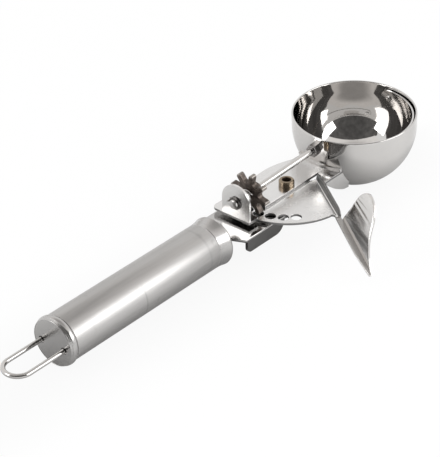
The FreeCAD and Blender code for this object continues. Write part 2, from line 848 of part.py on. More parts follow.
def is_ring_at(edge, z):
    """Whether an edge is a flat ring at the given height."""
    box = edge.BoundBox
    return abs(box.ZMin - z) < 1e-6 and abs(box.ZMax - z) < 1e-6


def pivot_washer():
    disc = Part.makeCylinder(washer_radius, washer_thickness, pivot + Z * base_top)
    hole = Part.makeCylinder(bush_shank_diameter / 2 + running_clearance, washer_thickness,
                             pivot + Z * base_top)
    return disc.cut(hole)


def front_edge_line():
    """The direction of the lever's straight front edge, from the hub outwards."""
    return (front_edge_end - front_edge_start).normalize()


def fan():
    """The flat part of the lever: a hub, a sector with a round edge, and a row of holes."""
    along = front_edge_line()
    corner_angle = math.degrees(math.atan2(front_edge_end.y, front_edge_end.x)) % 360
    arc_end_angle = corner_angle - fan_corner_angle
    rear = on_circle(fan_radius, fan_rear_angle)
    middle = on_circle(fan_radius, (fan_rear_angle + arc_end_angle) / 2)
    arc_end = on_circle(fan_radius, arc_end_angle)
    inner = front_edge_start - along * front_edge_inset
    root = hub_radius * 0.8
    root_rear = on_circle(root, fan_rear_angle - 60)
    root_front = on_circle(root, 50)
    edges = [
        line(root_rear, rear),
        arc(rear, middle, arc_end),
        line(arc_end, front_edge_end),
        line(front_edge_end, inner),
        line(inner, root_front),
        line(root_front, root_rear),
    ]
    plate = face_of(edges).extrude(Z * sheet)
    hub = Part.makeCylinder(hub_radius, sheet)
    plate = plate.fuse(hub)
    for number in range(hole_count):
        angle = 180 - wheel_rest_angle / lever_ratio + number * hole_pitch
        plate = plate.cut(Part.makeCylinder(hole_radius, sheet, on_circle(hole_circle, angle)))
    return plate


def pad_axes():
    """The arm's direction, the way up the thumb pad, and the pad's normal towards the handle."""
    along = Vector(arm_direction).normalize()
    lean = Vector(pad_lean)
    up = (lean - along * lean.dot(along)).normalize()
    return along, up, along.cross(up)


def thumb_pad():
    """A leaf cut from a curved sheet, widest near the lever and drawn out to the arm's tip."""
    along, up, normal = pad_axes()

    def place(distance, height):
        return along * distance + up * height

    tip = place(arm_length, -pad_root / 2)
    leaf_points = [place(arm_length * share, pad_height * rise) for share, rise in pad_outline]
    leaf = Part.BSplineCurve()
    leaf.interpolate([tip] + leaf_points)
    root_start = place(0.0, -pad_root)
    root_end = place(arm_length, -pad_root)
    blank = face_of([
        leaf.toShape(),
        line(leaf_points[-1], root_start),
        line(root_start, root_end),
        line(root_end, tip),
    ])
    blank.translate(normal * -pad_middle)
    blank = blank.extrude(normal * (2 * pad_middle))
    depth = math.sqrt(pad_radius ** 2 - pad_middle ** 2)
    centre = place(-overreach, pad_middle) - normal * depth
    length = arm_length + 2 * overreach
    curved = Part.makeCylinder(pad_radius, length, centre, along)
    curved = curved.cut(Part.makeCylinder(pad_radius - sheet, length, centre, along))
    return blank.common(curved)


def arm_strip_solid():
    """The narrow tapered strip on the handle side of the fold."""
    along = pad_axes()[0]
    inward = along.cross(Z).normalize()
    down = along.cross(inward).normalize()
    points = [
        Vector(0, 0, 0),
        along * arm_length,
        along * arm_length + inward * arm_strip_end,
        along * (arm_length * 0.6) + inward * arm_strip,
        inward * arm_strip,
    ]
    return polygon(points).extrude(down * sheet)


def front_flange():
    """The upright strip along the lever's front edge, higher at the hub than at the arm."""
    along = front_edge_line()
    outward = Vector(-along.y, along.x, 0)
    face = polygon([
        front_edge_start,
        front_edge_end,
        front_edge_end + Z * (sheet + flange_fold),
        front_edge_end - along * flange_outer_slope + Z * (sheet + flange_outer_height),
        front_edge_start + along * flange_inner_slope + Z * (sheet + lever_flange),
        front_edge_start + Z * (sheet + flange_fold),
    ])
    return face.extrude(outward * -sheet)


def lever_plate():
    """The thumb lever, pressed from one sheet: fan, upright front flange, arm and thumb pad."""
    along = front_edge_line()
    outward = Vector(-along.y, along.x, 0)
    fold = front_edge_end + Z * sheet
    pad = thumb_pad()
    pad.translate(fold)
    strip = arm_strip_solid()
    strip.translate(fold)
    knee = Part.makeSphere(sheet, front_edge_end + (Z - outward) * (sheet / 2))
    arm = fused([pad, strip, knee])
    lever = fused([fused([fan(), front_flange()]), arm])
    lever.translate(pivot + Z * lever_bottom)
    hole = Part.makeCylinder(bush_shank_diameter / 2 + running_clearance, sheet, pivot + Z * lever_bottom)
    return lever.cut(hole)


SUB_PARTS = {
    "handle_tube": handle_tube,
    "rear_cap": rear_cap,
    "hanging_loop": hanging_loop,
    "front_cap": front_cap,
    "tang_block": tang_block,
    "tang_pin": tang_pin,
    "base_plate": base_plate,
    "upper_plate": upper_plate,
    "pivot_bush": pivot_bush,
    "pivot_washer": pivot_washer,
    "lever_plate": lever_plate,
    "rod": rod,
    "ear_washer": ear_washer,
    "star_wheel": star_wheel,
    "wheel_pin": wheel_pin,
    "return_spring": return_spring,
    "rod_bush": rod_bush,
    "bowl": bowl,
    "scraper_blade": scraper_blade,
    "far_pivot_pin": far_pivot_pin,
}


def main():
    os.makedirs("parts", exist_ok=True)
    for name, make in SUB_PARTS.items():
        shape = make()
        print(name, "solids", len(shape.Solids), "volume", round(shape.Volume, 2), shape.isValid())
        shape.exportStep("parts/" + name + ".step")


main()
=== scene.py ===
from math import atan2, cos, degrees, exp, pi, radians, sin, sqrt, tan

import bmesh
import bpy
from bpy.props import FloatProperty, FloatVectorProperty, IntProperty, PointerProperty
from mathutils import Matrix, Vector


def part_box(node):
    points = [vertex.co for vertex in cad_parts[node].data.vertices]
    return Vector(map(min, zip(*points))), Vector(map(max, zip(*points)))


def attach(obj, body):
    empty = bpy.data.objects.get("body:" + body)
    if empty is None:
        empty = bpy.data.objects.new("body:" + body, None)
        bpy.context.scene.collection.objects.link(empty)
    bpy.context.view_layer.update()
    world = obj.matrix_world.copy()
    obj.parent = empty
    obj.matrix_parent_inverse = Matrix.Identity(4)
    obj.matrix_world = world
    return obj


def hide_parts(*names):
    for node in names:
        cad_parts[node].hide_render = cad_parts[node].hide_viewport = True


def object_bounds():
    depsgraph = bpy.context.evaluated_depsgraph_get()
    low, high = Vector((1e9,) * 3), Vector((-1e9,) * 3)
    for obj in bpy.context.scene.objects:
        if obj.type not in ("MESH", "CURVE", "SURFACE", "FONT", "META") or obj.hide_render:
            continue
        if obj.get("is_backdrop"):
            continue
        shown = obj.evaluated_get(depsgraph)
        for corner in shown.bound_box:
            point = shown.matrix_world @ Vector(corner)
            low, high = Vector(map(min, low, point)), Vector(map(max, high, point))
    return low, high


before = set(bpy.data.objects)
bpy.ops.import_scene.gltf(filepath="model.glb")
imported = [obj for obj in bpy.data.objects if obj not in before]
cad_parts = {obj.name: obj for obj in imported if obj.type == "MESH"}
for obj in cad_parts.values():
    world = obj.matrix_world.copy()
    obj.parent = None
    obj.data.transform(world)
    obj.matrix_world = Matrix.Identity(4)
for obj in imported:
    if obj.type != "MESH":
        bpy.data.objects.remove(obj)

bl_info = {
    "name": "Lever Ice Cream Scoop",
    "version": (1, 0, 0),
    "blender": (4, 5, 0),
    "location": "View3D > Sidebar > Scoop",
    "description": "Builds a polished lever scoop piece by piece, with its studio stage",
    "category": "Object",
}

# Shapes are drawn in millimetres, and a piece's frame turns them into metres.
MM = 0.001
ROD_SLOPE = radians(2.4)
BOWL_CENTRE = Vector((205.0, 0.0, 16.05)) * MM
PIVOT = Vector((153.5, 0.0, 0.0)) * MM
LEVER_BOTTOM = 2.41
SHEET = 1.2
BASE_TOP = 1.91
UPPER_LOW, UPPER_TOP = 3.71, 4.91
BLADE_OUTER, BLADE_INNER = 28.75, 27.95
TUBE_WALL = 0.8


def outside(node, axis):
    """Where a CAD node starts and ends on an axis, in millimetres; it ties a size to the model."""
    low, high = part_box(node)
    return low[axis] / MM, high[axis] / MM


def at(x, y, z):
    """From millimetres in a piece's own frame to metres, with its origin at a place in millimetres."""
    return Matrix.Translation(Vector((x, y, z)) * MM) @ Matrix.Scale(MM, 4)


def upright(x, z):
    """The same for a piece that stands upright on a place, with X as its axis."""
    return at(x, 0, z) @ Matrix.Rotation(-pi / 2, 4, "Y")


def along_rod(x):
    """How far along the rod from the bowl's centre a place on the handle's axis lies."""
    return (x - BOWL_CENTRE.x / MM) / cos(ROD_SLOPE)


IN_PLACE = at(0, 0, 0)
ROD_PLACE = Matrix.Translation(BOWL_CENTRE) @ Matrix.Rotation(-ROD_SLOPE, 4, "Y")
ROD_FRAME = ROD_PLACE @ Matrix.Scale(MM, 4)
WHEEL_REAR = along_rod(127.2) - 1.6


# ---------------------------------------------------------------- settings


def length(name, description, default, least):
    """A length setting, given in millimetres."""
    return FloatProperty(name=name, description=description, default=default * MM,
                         min=least * MM, precision=5, unit="LENGTH")


def colour(name, description, default):
    return FloatVectorProperty(name=name, description=description, default=default, size=3,
                               min=0, max=1, subtype="COLOR")


def share_of(name, description, default, most=1):
    return FloatProperty(name=name, description=description, default=default,
                         min=0, max=most, subtype="FACTOR")


class ScoopSizes(bpy.types.PropertyGroup):
    """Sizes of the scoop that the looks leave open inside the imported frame."""

    bowl_radius: length("Bowl radius", "Outside radius of the bowl", 30, 10)
    bowl_wall: length("Bowl wall", "Thickness of the bowl's sheet", 0.9, 0.2)
    rim_rounding: length("Rim rounding", "Rounding of the bowl's rim", 0.35, 0)
    tube_radius: length("Tube radius", "Outside radius of the handle tube", 11, 5)
    rod_radius: length("Rod radius", "Radius of the long drive rod", 1.5, 0.5)
    loop_wire: length("Loop wire", "Wire radius of the hanging loop", 1.1, 0.3)
    spring_wire: length("Spring wire", "Wire radius of the return spring", 0.45, 0.1)
    spring_turns: FloatProperty(name="Spring turns", description="Turns of the return spring",
                                default=4.25, min=1)
    teeth: IntProperty(name="Wheel teeth", description="Number of teeth on the star wheel",
                       default=8, min=3)
    holes: IntProperty(name="Lever holes", description="Number of holes in the lever's row",
                       default=5, min=1)
    hole_radius: length("Hole radius", "Radius of the lever's drive holes", 2.55, 0.2)
    hole_circle: length("Hole circle", "Distance of the holes from the pivot", 26.3, 1)
    fan_rim: length("Fan rim", "Sheet left outside the row of holes", 2.4, 0.2)
    edge_rounding: length("Edge rounding", "Rounding of cut sheet edges", 0.13, 0)
    bend_rounding: length("Bend rounding", "Outside rounding of bent sheet", 0.95, 0)
    crease_depth: length("Crease depth", "Depth of the thumb pad's creases", 0.16, 0)


class ScoopFinish(bpy.types.PropertyGroup):
    """Colours and polish of the scoop's metals."""

    steel: colour("Steel", "Colour of the polished steel", (0.64, 0.625, 0.61))
    satin: colour("Satin steel", "Colour of the brushed handle", (0.525, 0.515, 0.505))
    dull_and_shade: colour("Dull metal", "Colour of the cast star wheel", (0.135, 0.112, 0.098))
    brass: colour("Brass", "Colour of the clean brass", (0.33, 0.265, 0.19))
    tarnish: colour("Tarnish", "Colour of the brown film on brass", (0.15, 0.11, 0.08))
    satin_roughness: share_of("Satin roughness", "Roughness of the handle", 0.38)
    sheet: colour("Sheet steel", "Colour of the pale pressed sheets", (0.74, 0.73, 0.72))
    bearing: colour("Bearing steel", "Colour of the bowl's rod bush", (0.20, 0.19, 0.185))
    base_roughness: share_of("Lower sheet roughness", "Roughness of the lower sheet", 0.14)
    sheet_roughness: share_of("Sheet roughness", "Roughness of the upper sheet", 0.21)
    lever_roughness: share_of("Lever roughness", "Roughness of the thumb lever", 0.25)
    mirror_roughness: share_of("Mirror roughness", "Roughness of the bowl", 0.045)


class ScoopStage(bpy.types.PropertyGroup):
    """Floor, lamps and dark cards of the studio."""

    floor: colour("Floor", "Colour of the pale floor", (0.84, 0.84, 0.84))
    fill: FloatProperty(name="Fill", description="Strength of the even light all round",
                        default=0.97, min=0)
    key: FloatProperty(name="Key lamp", description="Power of the large soft lamp",
                       default=5.0, min=0, unit="POWER")
    card: share_of("Card level", "How bright the grey cards look in the metal", 1.0, 2)


# ---------------------------------------------------------------- node graphs


def arithmetic(operation):
    """An operator and its reflected form, each of which adds a Math node."""
    return (lambda self, other: self.graph.maths(operation, self, other),
            lambda self, other: self.graph.maths(operation, other, self))


class Value:
    """A node's output that can stand in a Python expression, which adds its Math nodes."""

    def __init__(self, graph, node, socket):
        self.graph, self.node, self.socket = graph, node, socket

    def out(self, name):
        return Value(self.graph, self.node, self.node.outputs[name])

    __add__, __radd__ = arithmetic("ADD")
    __sub__, __rsub__ = arithmetic("SUBTRACT")
    __mul__, __rmul__ = arithmetic("MULTIPLY")
    __truediv__, __rtruediv__ = arithmetic("DIVIDE")
    __pow__, __rpow__ = arithmetic("POWER")


class Graph:
    """Adds nodes to a shader tree or a Geometry Nodes tree."""

    def __init__(self, tree):
        self.tree = tree
        tree.nodes.clear()

    def add(self, kind, inputs=None, output=0, **settings):
        """Adds a node: its settings first, then a value, a link or a list of links for each socket."""
        node = self.tree.nodes.new(kind)
        for key, value in settings.items():
            setattr(node, key, value)
        for key, value in (inputs or {}).items():
            for single in value if isinstance(value, list) else [value]:
                if isinstance(single, Value):
                    self.tree.links.new(single.socket, node.inputs[key])
                else:
                    node.inputs[key].default_value = single
        return Value(self, node, node.outputs[output] if node.outputs else None)

    def maths(self, operation, *terms):
        return self.add("ShaderNodeMath", dict(enumerate(terms)), operation=operation)

    def mix(self, factor, first, second):
        return self.add("ShaderNodeMix", {0: factor, 6: first, 7: second}, 2, data_type="RGBA")

    def ramp(self, value, low, high, low_to=0.0, high_to=1.0):
        return self.add("ShaderNodeMapRange", {0: value, 1: low, 2: high, 3: low_to, 4: high_to},
                        interpolation_type="SMOOTHSTEP")

    def noise(self, vector, scale, detail=2.0, roughness=0.5):
        return self.add("ShaderNodeTexNoise", {
            "Vector": vector, "Scale": scale, "Detail": detail, "Roughness": roughness})

    def stretched(self, vector, scale, turn=0.0):
        """A pattern's coordinates, stretched and then turned about Z."""
        return self.add("ShaderNodeMapping", {
            "Vector": vector, "Scale": scale, "Rotation": (0, 0, turn)})

    def place(self):
        return self.add("ShaderNodeTexCoord", output="Object")

    def parts(self, vector):
        x = self.add("ShaderNodeSeparateXYZ", {0: vector})
        return x, x.out("Y"), x.out("Z")

    def combined(self, x, y, z):
        return self.add("ShaderNodeCombineXYZ", {0: x, 1: y, 2: z})

    def distance(self, vector):
        return self.add("ShaderNodeVectorMath", {0: vector}, "Value", operation="LENGTH")

    def surface(self, shader, kind="ShaderNodeOutputMaterial"):
        self.add(kind, {"Surface": shader})

    def glow(self, kind, rgb, strength):
        """A shader that gives off light: an Emission or a Background."""
        return self.add(kind, {"Color": colour_of(rgb), "Strength": strength})


WHITE = (1, 1, 1)


def colour_of(rgb, level=1.0):
    return (rgb[0] * level, rgb[1] * level, rgb[2] * level, 1.0)


def new_material(name):
    material = bpy.data.materials.new(name)
    material.use_nodes = True
    return material, Graph(material.node_tree)


def finish_metal(graph, shade, roughness, height, depth, metallic=1.0):
    """The shader that all the metals end in; depth is how far the bump goes, in millimetres."""
    bump = graph.add("ShaderNodeBump", {"Strength": 1.0, "Distance": depth * MM, "Height": height})
    graph.surface(graph.add("ShaderNodeBsdfPrincipled", {
        "Base Color": shade, "Roughness": roughness, "Metallic": metallic, "Normal": bump}))


def round_coordinates(graph, centre, turn):
    """Place along an axis, distance from it, and both in the axis's own frame, for lathe marks."""
    own = graph.add("ShaderNodeMapping", {"Vector": graph.place(), "Location": centre, "Rotation": turn},
                    vector_type="TEXTURE")
    along, y, z = graph.parts(own)
    return along, (y * y + z * z) ** 0.5, own


# ---------------------------------------------------------------- metals

# A centre and a turn that bring an axis to X.
HANDLE_AXIS = ((0, 0, 0), (0, 0, 0))
ROD_AXIS = (BOWL_CENTRE, (0.0, -ROD_SLOPE, 0.0))
BOWL_AXIS = (BOWL_CENTRE, (0.0, -ROD_SLOPE - pi / 2, 0.0))
PIVOT_AXIS = (PIVOT, (0.0, -pi / 2, 0.0))
RUBBED_METAL = (0.46, 0.43, 0.40)
WARM_WHITE = (1, 0.975, 0.955)


def brushed_steel(name, colour, roughness):
    """Satin steel brushed along the handle, with handling smudges and two faint ring marks."""
    material, graph = new_material(name)
    place = graph.place()
    lines = graph.noise(graph.stretched(place, (70, 5200, 5200)), 1.0, 3.0, 0.6)
    streaks = graph.noise(graph.stretched(place, (45, 900, 900)), 1.0, 2.0, 0.55)
    cloud = graph.noise(place, 95.0, 3.0, 0.6)
    along, across, _ = graph.parts(place)
    mark = ring_mark(graph, along, 0.0462, 0.0007) * graph.ramp(across, -0.0105, -0.0065, 1, 0)
    mark = mark + 0.5 * ring_mark(graph, along, 0.0880, 0.0011)
    spots = graph.ramp(graph.noise(place, 210.0, 1.0), 0.70, 0.80) * 0.35
    dark = mark * 0.45 + spots + graph.ramp(cloud, 0.62, 0.80) * 0.25
    tone = graph.mix(streaks * 0.5 + lines * 0.35, colour_of(colour, 0.80), colour_of(colour, 1.10))
    shade = graph.mix(dark, tone, colour_of(colour, 0.52))
    rough = roughness + (lines - 0.5) * 0.16 + (streaks - 0.5) * 0.12 + (cloud - 0.5) * 0.10
    finish_metal(graph, shade, rough, lines + streaks * 0.6, 0.008)
    return material


def ring_mark(graph, along, centre, half_width):
    """A soft line round the handle."""
    return graph.ramp(graph.maths("ABSOLUTE", along - centre), 0.0, half_width, 1.0, 0.0)


def turned_steel(name, colour, roughness, axis, fine=6000.0, depth=0.003):
    """Steel with fine rings from turning or polishing about its own axis."""
    material, graph = new_material(name)
    along, radius, own = round_coordinates(graph, *axis)
    rings = graph.noise(graph.combined(along, radius, 0.0), fine, 2.0)
    cloud = graph.noise(own, 260.0, 3.0, 0.6)
    tone = graph.mix(rings * 0.6 + cloud * 0.4, colour_of(colour, 0.84), colour_of(colour, 1.08))
    shade = graph.mix(graph.ramp(cloud, 0.55, 0.75) * 0.2, tone, colour_of(colour, 0.5))
    finish_metal(graph, shade, roughness + (rings - 0.5) * 0.10 + (cloud - 0.5) * 0.10, rings, depth)
    return material


def polished_sheet(name, colour, roughness, turn=0.0, wave=0.3, dull_and_shade=None):
    """Polished pressed sheet: faint rolling lines, a few scratches, slightly wavy.

    Between the two heights in the last argument the sheet is painted with shade and made a little rougher:
    there lie its cut edges, its bent sides and its upright flange, as each sheet has them.
    """
    material, graph = new_material(name)
    place = graph.place()
    rolled = graph.noise(graph.stretched(place, (120, 3600, 3600), turn), 1.0, 2.0)
    wipe = graph.noise(graph.stretched(place, (500, 60, 500), turn + 0.5), 1.0, 2.0)
    scratches = graph.ramp(graph.noise(graph.stretched(place, (90, 7000, 90), turn + 1.1), 1.0, 1.0),
                           0.70, 0.78)
    cloud = graph.noise(place, 120.0, 3.0, 0.6)
    tone = graph.mix(rolled * 0.5 + cloud * 0.5, colour_of(colour, 0.88), colour_of(colour, 1.08))
    rough = (roughness + (rolled - 0.5) * 0.06 + (wipe - 0.5) * 0.08
             + scratches * 0.10 + graph.ramp(cloud, 0.5, 0.8) * 0.05)
    # Painted shade: between the two heights the colour is brought down to 0.16 of the sheet's, and the
    # roughness is raised.
    if dull_and_shade:
        low, high = dull_and_shade[0] * MM, dull_and_shade[1] * MM
        soft = 0.08 * MM
        level = graph.parts(place)[2]
        cut = graph.ramp(level, low, low + soft) * graph.ramp(level, high - soft, high, 1.0, 0.0)
        tone = graph.mix(cut * 0.8, tone, colour_of(colour, 0.16))
        rough = rough + cut * 0.2
    swell = graph.noise(place, 42.0, 0.0)
    finish_metal(graph, tone, rough, rolled * 0.03 + scratches * 0.02 + swell * wave, 0.05)
    return material


def bowl_mirror(name, colour, roughness):
    """Mirror-polished bowl: faint spinning rings, and slow waves left by the press."""
    material, graph = new_material(name)
    along, radius, own = round_coordinates(graph, *BOWL_AXIS)
    rings = graph.noise(graph.combined(along, radius, 0.0), 2600.0, 3.0, 0.6)
    cloud = graph.noise(own, 70.0, 3.0, 0.6)
    swell = graph.noise(graph.stretched(own, (34, 90, 90)), 1.0, 1.0)
    tone = graph.mix(rings * 0.3 + cloud * 0.7, colour_of(colour, 0.90), colour_of(colour, 1.05))
    rough = roughness + (rings - 0.5) * 0.03 + graph.ramp(cloud, 0.5, 0.85) * 0.05
    finish_metal(graph, tone, rough, swell * 0.6 + rings * 0.006, 0.10)
    return material


def cast_metal(name, colour, roughness, axis, polished_from):
    """Dull cast metal with a grain, rubbed bright where it works against the lever."""
    material, graph = new_material(name)
    _, radius, own = round_coordinates(graph, *axis)
    grain = graph.noise(own, 2400.0, 3.0, 0.7)
    blotch = graph.noise(own, 420.0, 3.0, 0.6)
    rubbed = graph.ramp(radius + (blotch - 0.5) * 0.0012, polished_from, polished_from + 0.0012)
    base = graph.mix(graph.ramp(blotch, 0.35, 0.7), colour_of(colour, 0.55), colour_of(colour, 1.2))
    shade = graph.mix(rubbed * 0.6, base, colour_of(RUBBED_METAL))
    rough = roughness + (grain - 0.5) * 0.25 - rubbed * 0.14
    finish_metal(graph, shade, rough, grain * 0.5 + blotch * 0.5, 0.05, metallic=0.92)
    return material


def old_brass(name, clean, tarnish, bore_radius):
    """Brass with brown patches, and darkened to the same brown in the bore."""
    material, graph = new_material(name)
    along, radius, own = round_coordinates(graph, *PIVOT_AXIS)
    rings = graph.noise(graph.combined(along, radius, 0.0), 5200.0, 2.0)
    patch = graph.noise(own, 700.0, 4.0, 0.65)
    inside = graph.ramp(radius, bore_radius, bore_radius + 0.0003, 1.0, 0.0)
    dark = graph.maths("MAXIMUM", graph.ramp(patch, 0.40, 0.62) * 0.7, inside * 0.9)
    tone = graph.mix(rings * 0.5, colour_of(clean, 0.9), colour_of(clean, 1.1))
    shade = graph.mix(dark, tone, colour_of(tarnish))
    finish_metal(graph, shade, 0.24 + (rings - 0.5) * 0.12 + dark * 0.18, rings + patch * 0.4, 0.004)
    return material


def make_metals():
    """All the metals of the scoop: one for each slot of the record, and three for single pieces."""
    finish = bpy.context.scene.scoop_finish
    steel, satin, sheet = finish.steel, finish.satin, finish.sheet
    lever_turn = 0.9
    return {
        "handle_steel": brushed_steel("brushed_handle_steel", satin, finish.satin_roughness),
        "cap_steel": turned_steel("satin_cap_steel", satin, 0.24, HANDLE_AXIS, 5200.0, 0.004),
        "wire_steel": turned_steel("bright_loop_wire", steel, 0.12, HANDLE_AXIS, 1500.0, 0.004),
        "block_metal": turned_steel("turned_block_metal", satin, 0.38, HANDLE_AXIS),
        "pin_steel": turned_steel("turned_pin_steel", steel, 0.2, ROD_AXIS),
        # The last pair of heights for each sheet marks a band of painted shade: the lower sheet's bent
        # sides, the cut edges of the upper sheet and of the fan, and the lever's upright flange.
        "frame_steel": polished_sheet("polished_frame_sheet", satin, finish.base_roughness,
                                      0.0, 0.35, (-8.0, 1.15)),
        "upper_sheet": polished_sheet("satin_frame_sheet", sheet, finish.sheet_roughness,
                                      0.0, 0.3, (3.75, 4.82)),
        "lever_steel": polished_sheet("satin_lever_sheet", sheet, finish.lever_roughness,
                                      lever_turn, 0.3, (2.45, 3.50)),
        "lever_fold": polished_sheet("shadowed_lever_fold", sheet, 0.24, lever_turn, 0.3, (3.75, 7.6)),
        "lever_pad": polished_sheet("polished_lever_pad", steel, 0.15, lever_turn),
        "bush_brass": old_brass("tarnished_brass", finish.brass, finish.tarnish, 2.1 * MM),
        "bush_steel": turned_steel("turned_bush_steel", finish.bearing, 0.24, ROD_AXIS),
        "washer_steel": turned_steel("turned_washer_steel", steel, 0.26, PIVOT_AXIS),
        "rod_steel": turned_steel("drawn_rod_steel", steel, 0.11, ROD_AXIS, 1800.0, 0.002),
        "wheel_metal": cast_metal("cast_wheel_metal", finish.dull_and_shade, 0.42, ROD_AXIS, 9.2 * MM),
        "spring_steel": turned_steel("spring_wire_steel", steel, 0.26, ROD_AXIS, 900.0),
        "bowl_steel": bowl_mirror("mirror_bowl_steel", steel, finish.mirror_roughness),
        "blade_steel": polished_sheet("polished_blade_strip", steel, 0.11, 0.4),
    }


def metal(slot):
    """The finish of a slot; all of them are made the first time that one is asked for."""
    names = bpy.context.scene.get("scoop_metals")
    if names is None:
        names = {key: made.name for key, made in make_metals().items()}
        bpy.context.scene["scoop_metals"] = names
    return bpy.data.materials[names[slot]]


# ---------------------------------------------------------------- shapes


def rounded(points, steps=5):
    """A run of flat points in which a third number rounds its corner by that radius."""
    out = []
    for i, point in enumerate(points):
        radius = point[2] if len(point) > 2 else 0.0
        here = Vector(point[:2])
        if not radius:
            out.append(here)
            continue
        before = Vector(points[i - 1][:2]) - here
        after = Vector(points[(i + 1) % len(points)][:2]) - here
        angle = before.angle(after)
        reach = min(radius / tan(angle / 2), before.length * 0.499, after.length * 0.499)
        radius = reach * tan(angle / 2)
        before, after = before.normalized(), after.normalized()
        middle = here + (before + after).normalized() * (radius / sin(angle / 2))
        first, last = here + before * reach - middle, here + after * reach - middle
        turn = first.angle_signed(last)
        out += [middle + Matrix.Rotation(-turn * step / steps, 2) @ first for step in range(steps + 1)]
    return out


def barrel(start, end, radius, rounding, steps=3, bore=0.0):
    """The profile of a plain pin or ring whose outer edges are rounded."""
    return rounded([(start, bore), (start, radius, rounding), (end, radius, rounding), (end, bore)], steps)


def arc_points(centre, radius, start, end, steps):
    """Points on a flat arc, from one angle in degrees to another."""
    angles = [radians(start + (end - start) * step / steps) for step in range(steps + 1)]
    return [Vector((centre[0] + radius * cos(a), centre[1] + radius * sin(a))) for a in angles]


def bridge(bm, ring, other):
    """Faces between two closed rings of vertices; a ring of one vertex is a pole."""
    count = max(len(ring), len(other))
    for i in range(count if count > 1 else 0):
        j = (i + 1) % count
        corners = [ring[i % len(ring)], ring[j % len(ring)], other[j % len(other)], other[i % len(other)]]
        bm.faces.new(list(dict.fromkeys(corners)))


def lathe(bm, profile, steps, place):
    """Turns a closed profile of (along, radius) points about X and puts it in place."""
    rings = []
    for along, radius in profile:
        angles = [2 * pi * step / steps for step in range(steps if radius > 1e-4 else 1)]
        rings.append([bm.verts.new(place @ Vector((along, radius * cos(a), radius * sin(a))))
                      for a in angles])
    for ring, other in zip(rings, rings[1:] + rings[:1]):
        bridge(bm, ring, other)


def prism(bm, outline, low, high, place):
    """A slab between two heights over a flat outline."""
    bottom, top = [[bm.verts.new(place @ Vector((*point, height))) for point in outline]
                   for height in (low, high)]
    bm.faces.new(bottom[::-1])
    bm.faces.new(top)
    bridge(bm, bottom, top)


def bent_sheet(bm, grids):
    """Closes the two faces of a bent sheet, given as grids of vertices, into a solid."""
    for side, grid in enumerate(grids):
        for row, above in zip(grid, grid[1:]):
            for i in range(len(row) - 1):
                corners = [row[i], row[i + 1], above[i + 1], above[i]]
                bm.faces.new(corners if side else corners[::-1])
    bridge(bm, *[border(grid) for grid in grids])


def border(grid):
    """The vertices round a grid, in order, without doubles."""
    return (list(grid[0]) + [row[-1] for row in grid[1:]] + grid[-1][-2::-1]
            + [row[0] for row in reversed(grid[1:-1])])


def tidy_normals(bm):
    bmesh.ops.remove_doubles(bm, verts=bm.verts[:], dist=1e-7)
    bmesh.ops.recalc_face_normals(bm, faces=bm.faces[:])


def to_mesh(bm, name):
    mesh = bpy.data.meshes.new(name)
    bm.to_mesh(mesh)
    bm.free()
    return mesh


def shade(mesh, angle=32.0):
    mesh.shade_smooth()
    mesh.set_sharp_from_angle(angle=radians(angle))


def new_object(name, mesh):
    thing = bpy.data.objects.new(name, mesh)
    bpy.context.scene.collection.objects.link(thing)
    return thing


def new_solid(name, bm, angle=32.0):
    """An object from a closed shape, with its faces turned outwards and its sharp edges kept."""
    tidy_normals(bm)
    mesh = to_mesh(bm, name)
    shade(mesh, angle)
    return new_object(name, mesh)


def add_turned(bm, profile, steps, place):
    """Adds a piece from the lathe to a mesh, with its own faces turned outwards."""
    part = bmesh.new()
    lathe(part, profile, steps, place)
    tidy_normals(part)
    mesh = to_mesh(part, "turned")
    bm.from_mesh(mesh)
    bpy.data.meshes.remove(mesh)


def close_up(thing, turned=()):
    """Merges a baked mesh's doubles, turns its faces outwards and adds pieces from the lathe."""
    bm = bmesh.new()
    bm.from_mesh(thing.data)
    tidy_normals(bm)
    for profile, place in turned:
        add_turned(bm, profile, 32, place)
    bm.to_mesh(thing.data)
    bm.free()


def bevel(thing, width, segments=3, angle=30.0, harden=True):
    """Rounds a piece's sharp edges; width is in millimetres."""
    modifier = thing.modifiers.new("edge rounding", "BEVEL")
    modifier.width = width * MM
    modifier.segments = segments
    modifier.limit_method = "ANGLE"
    modifier.angle_limit = radians(angle)
    modifier.harden_normals = harden
    modifier.miter_outer = "MITER_ARC" if harden else "MITER_SHARP"


def fit_out(thing, slot, body, node, look=None):
    """Gives a finished piece its metal and its body, and hides the CAD node that it stands for."""
    thing.data.materials.clear()
    thing.data.materials.append(metal(look or slot))
    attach(thing, body)
    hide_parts(node)


def baked(thing):
    """The evaluated object as a plain mesh, with its modifiers gone."""
    view = bpy.context.evaluated_depsgraph_get()
    view.update()
    mesh = bpy.data.meshes.new_from_object(thing.evaluated_get(view))
    mesh.name = thing.name
    thing.modifiers.clear()
    old, thing.data = thing.data, mesh
    bpy.data.meshes.remove(old)


def turned_piece(name, profiles, steps, place, slot, body, node, angle=32.0, look=None):
    """A piece made on a lathe from one or more closed profiles."""
    bm = bmesh.new()
    for profile in profiles:
        add_turned(bm, profile, steps, place)
    mesh = to_mesh(bm, name)
    shade(mesh, angle)
    fit_out(new_object(name, mesh), slot, body, node, look)


def bend_edges(bm, places, radius):
    """Rounds the sharp edges that lie at the given places, axis by axis, as a press brake does."""
    reach = 0.06
    edges = [edge for edge in bm.edges if len(edge.link_faces) == 2
             and edge.calc_face_angle(0) > radians(50)
             and all(abs(vertex.co[axis] / MM - value) <= reach
                     for vertex in edge.verts for axis, value in places)]
    if edges:
        bmesh.ops.bevel(bm, geom=edges, offset=radius * MM, offset_type="OFFSET", segments=6,
                        profile=0.5, affect="EDGES", clamp_overlap=True)


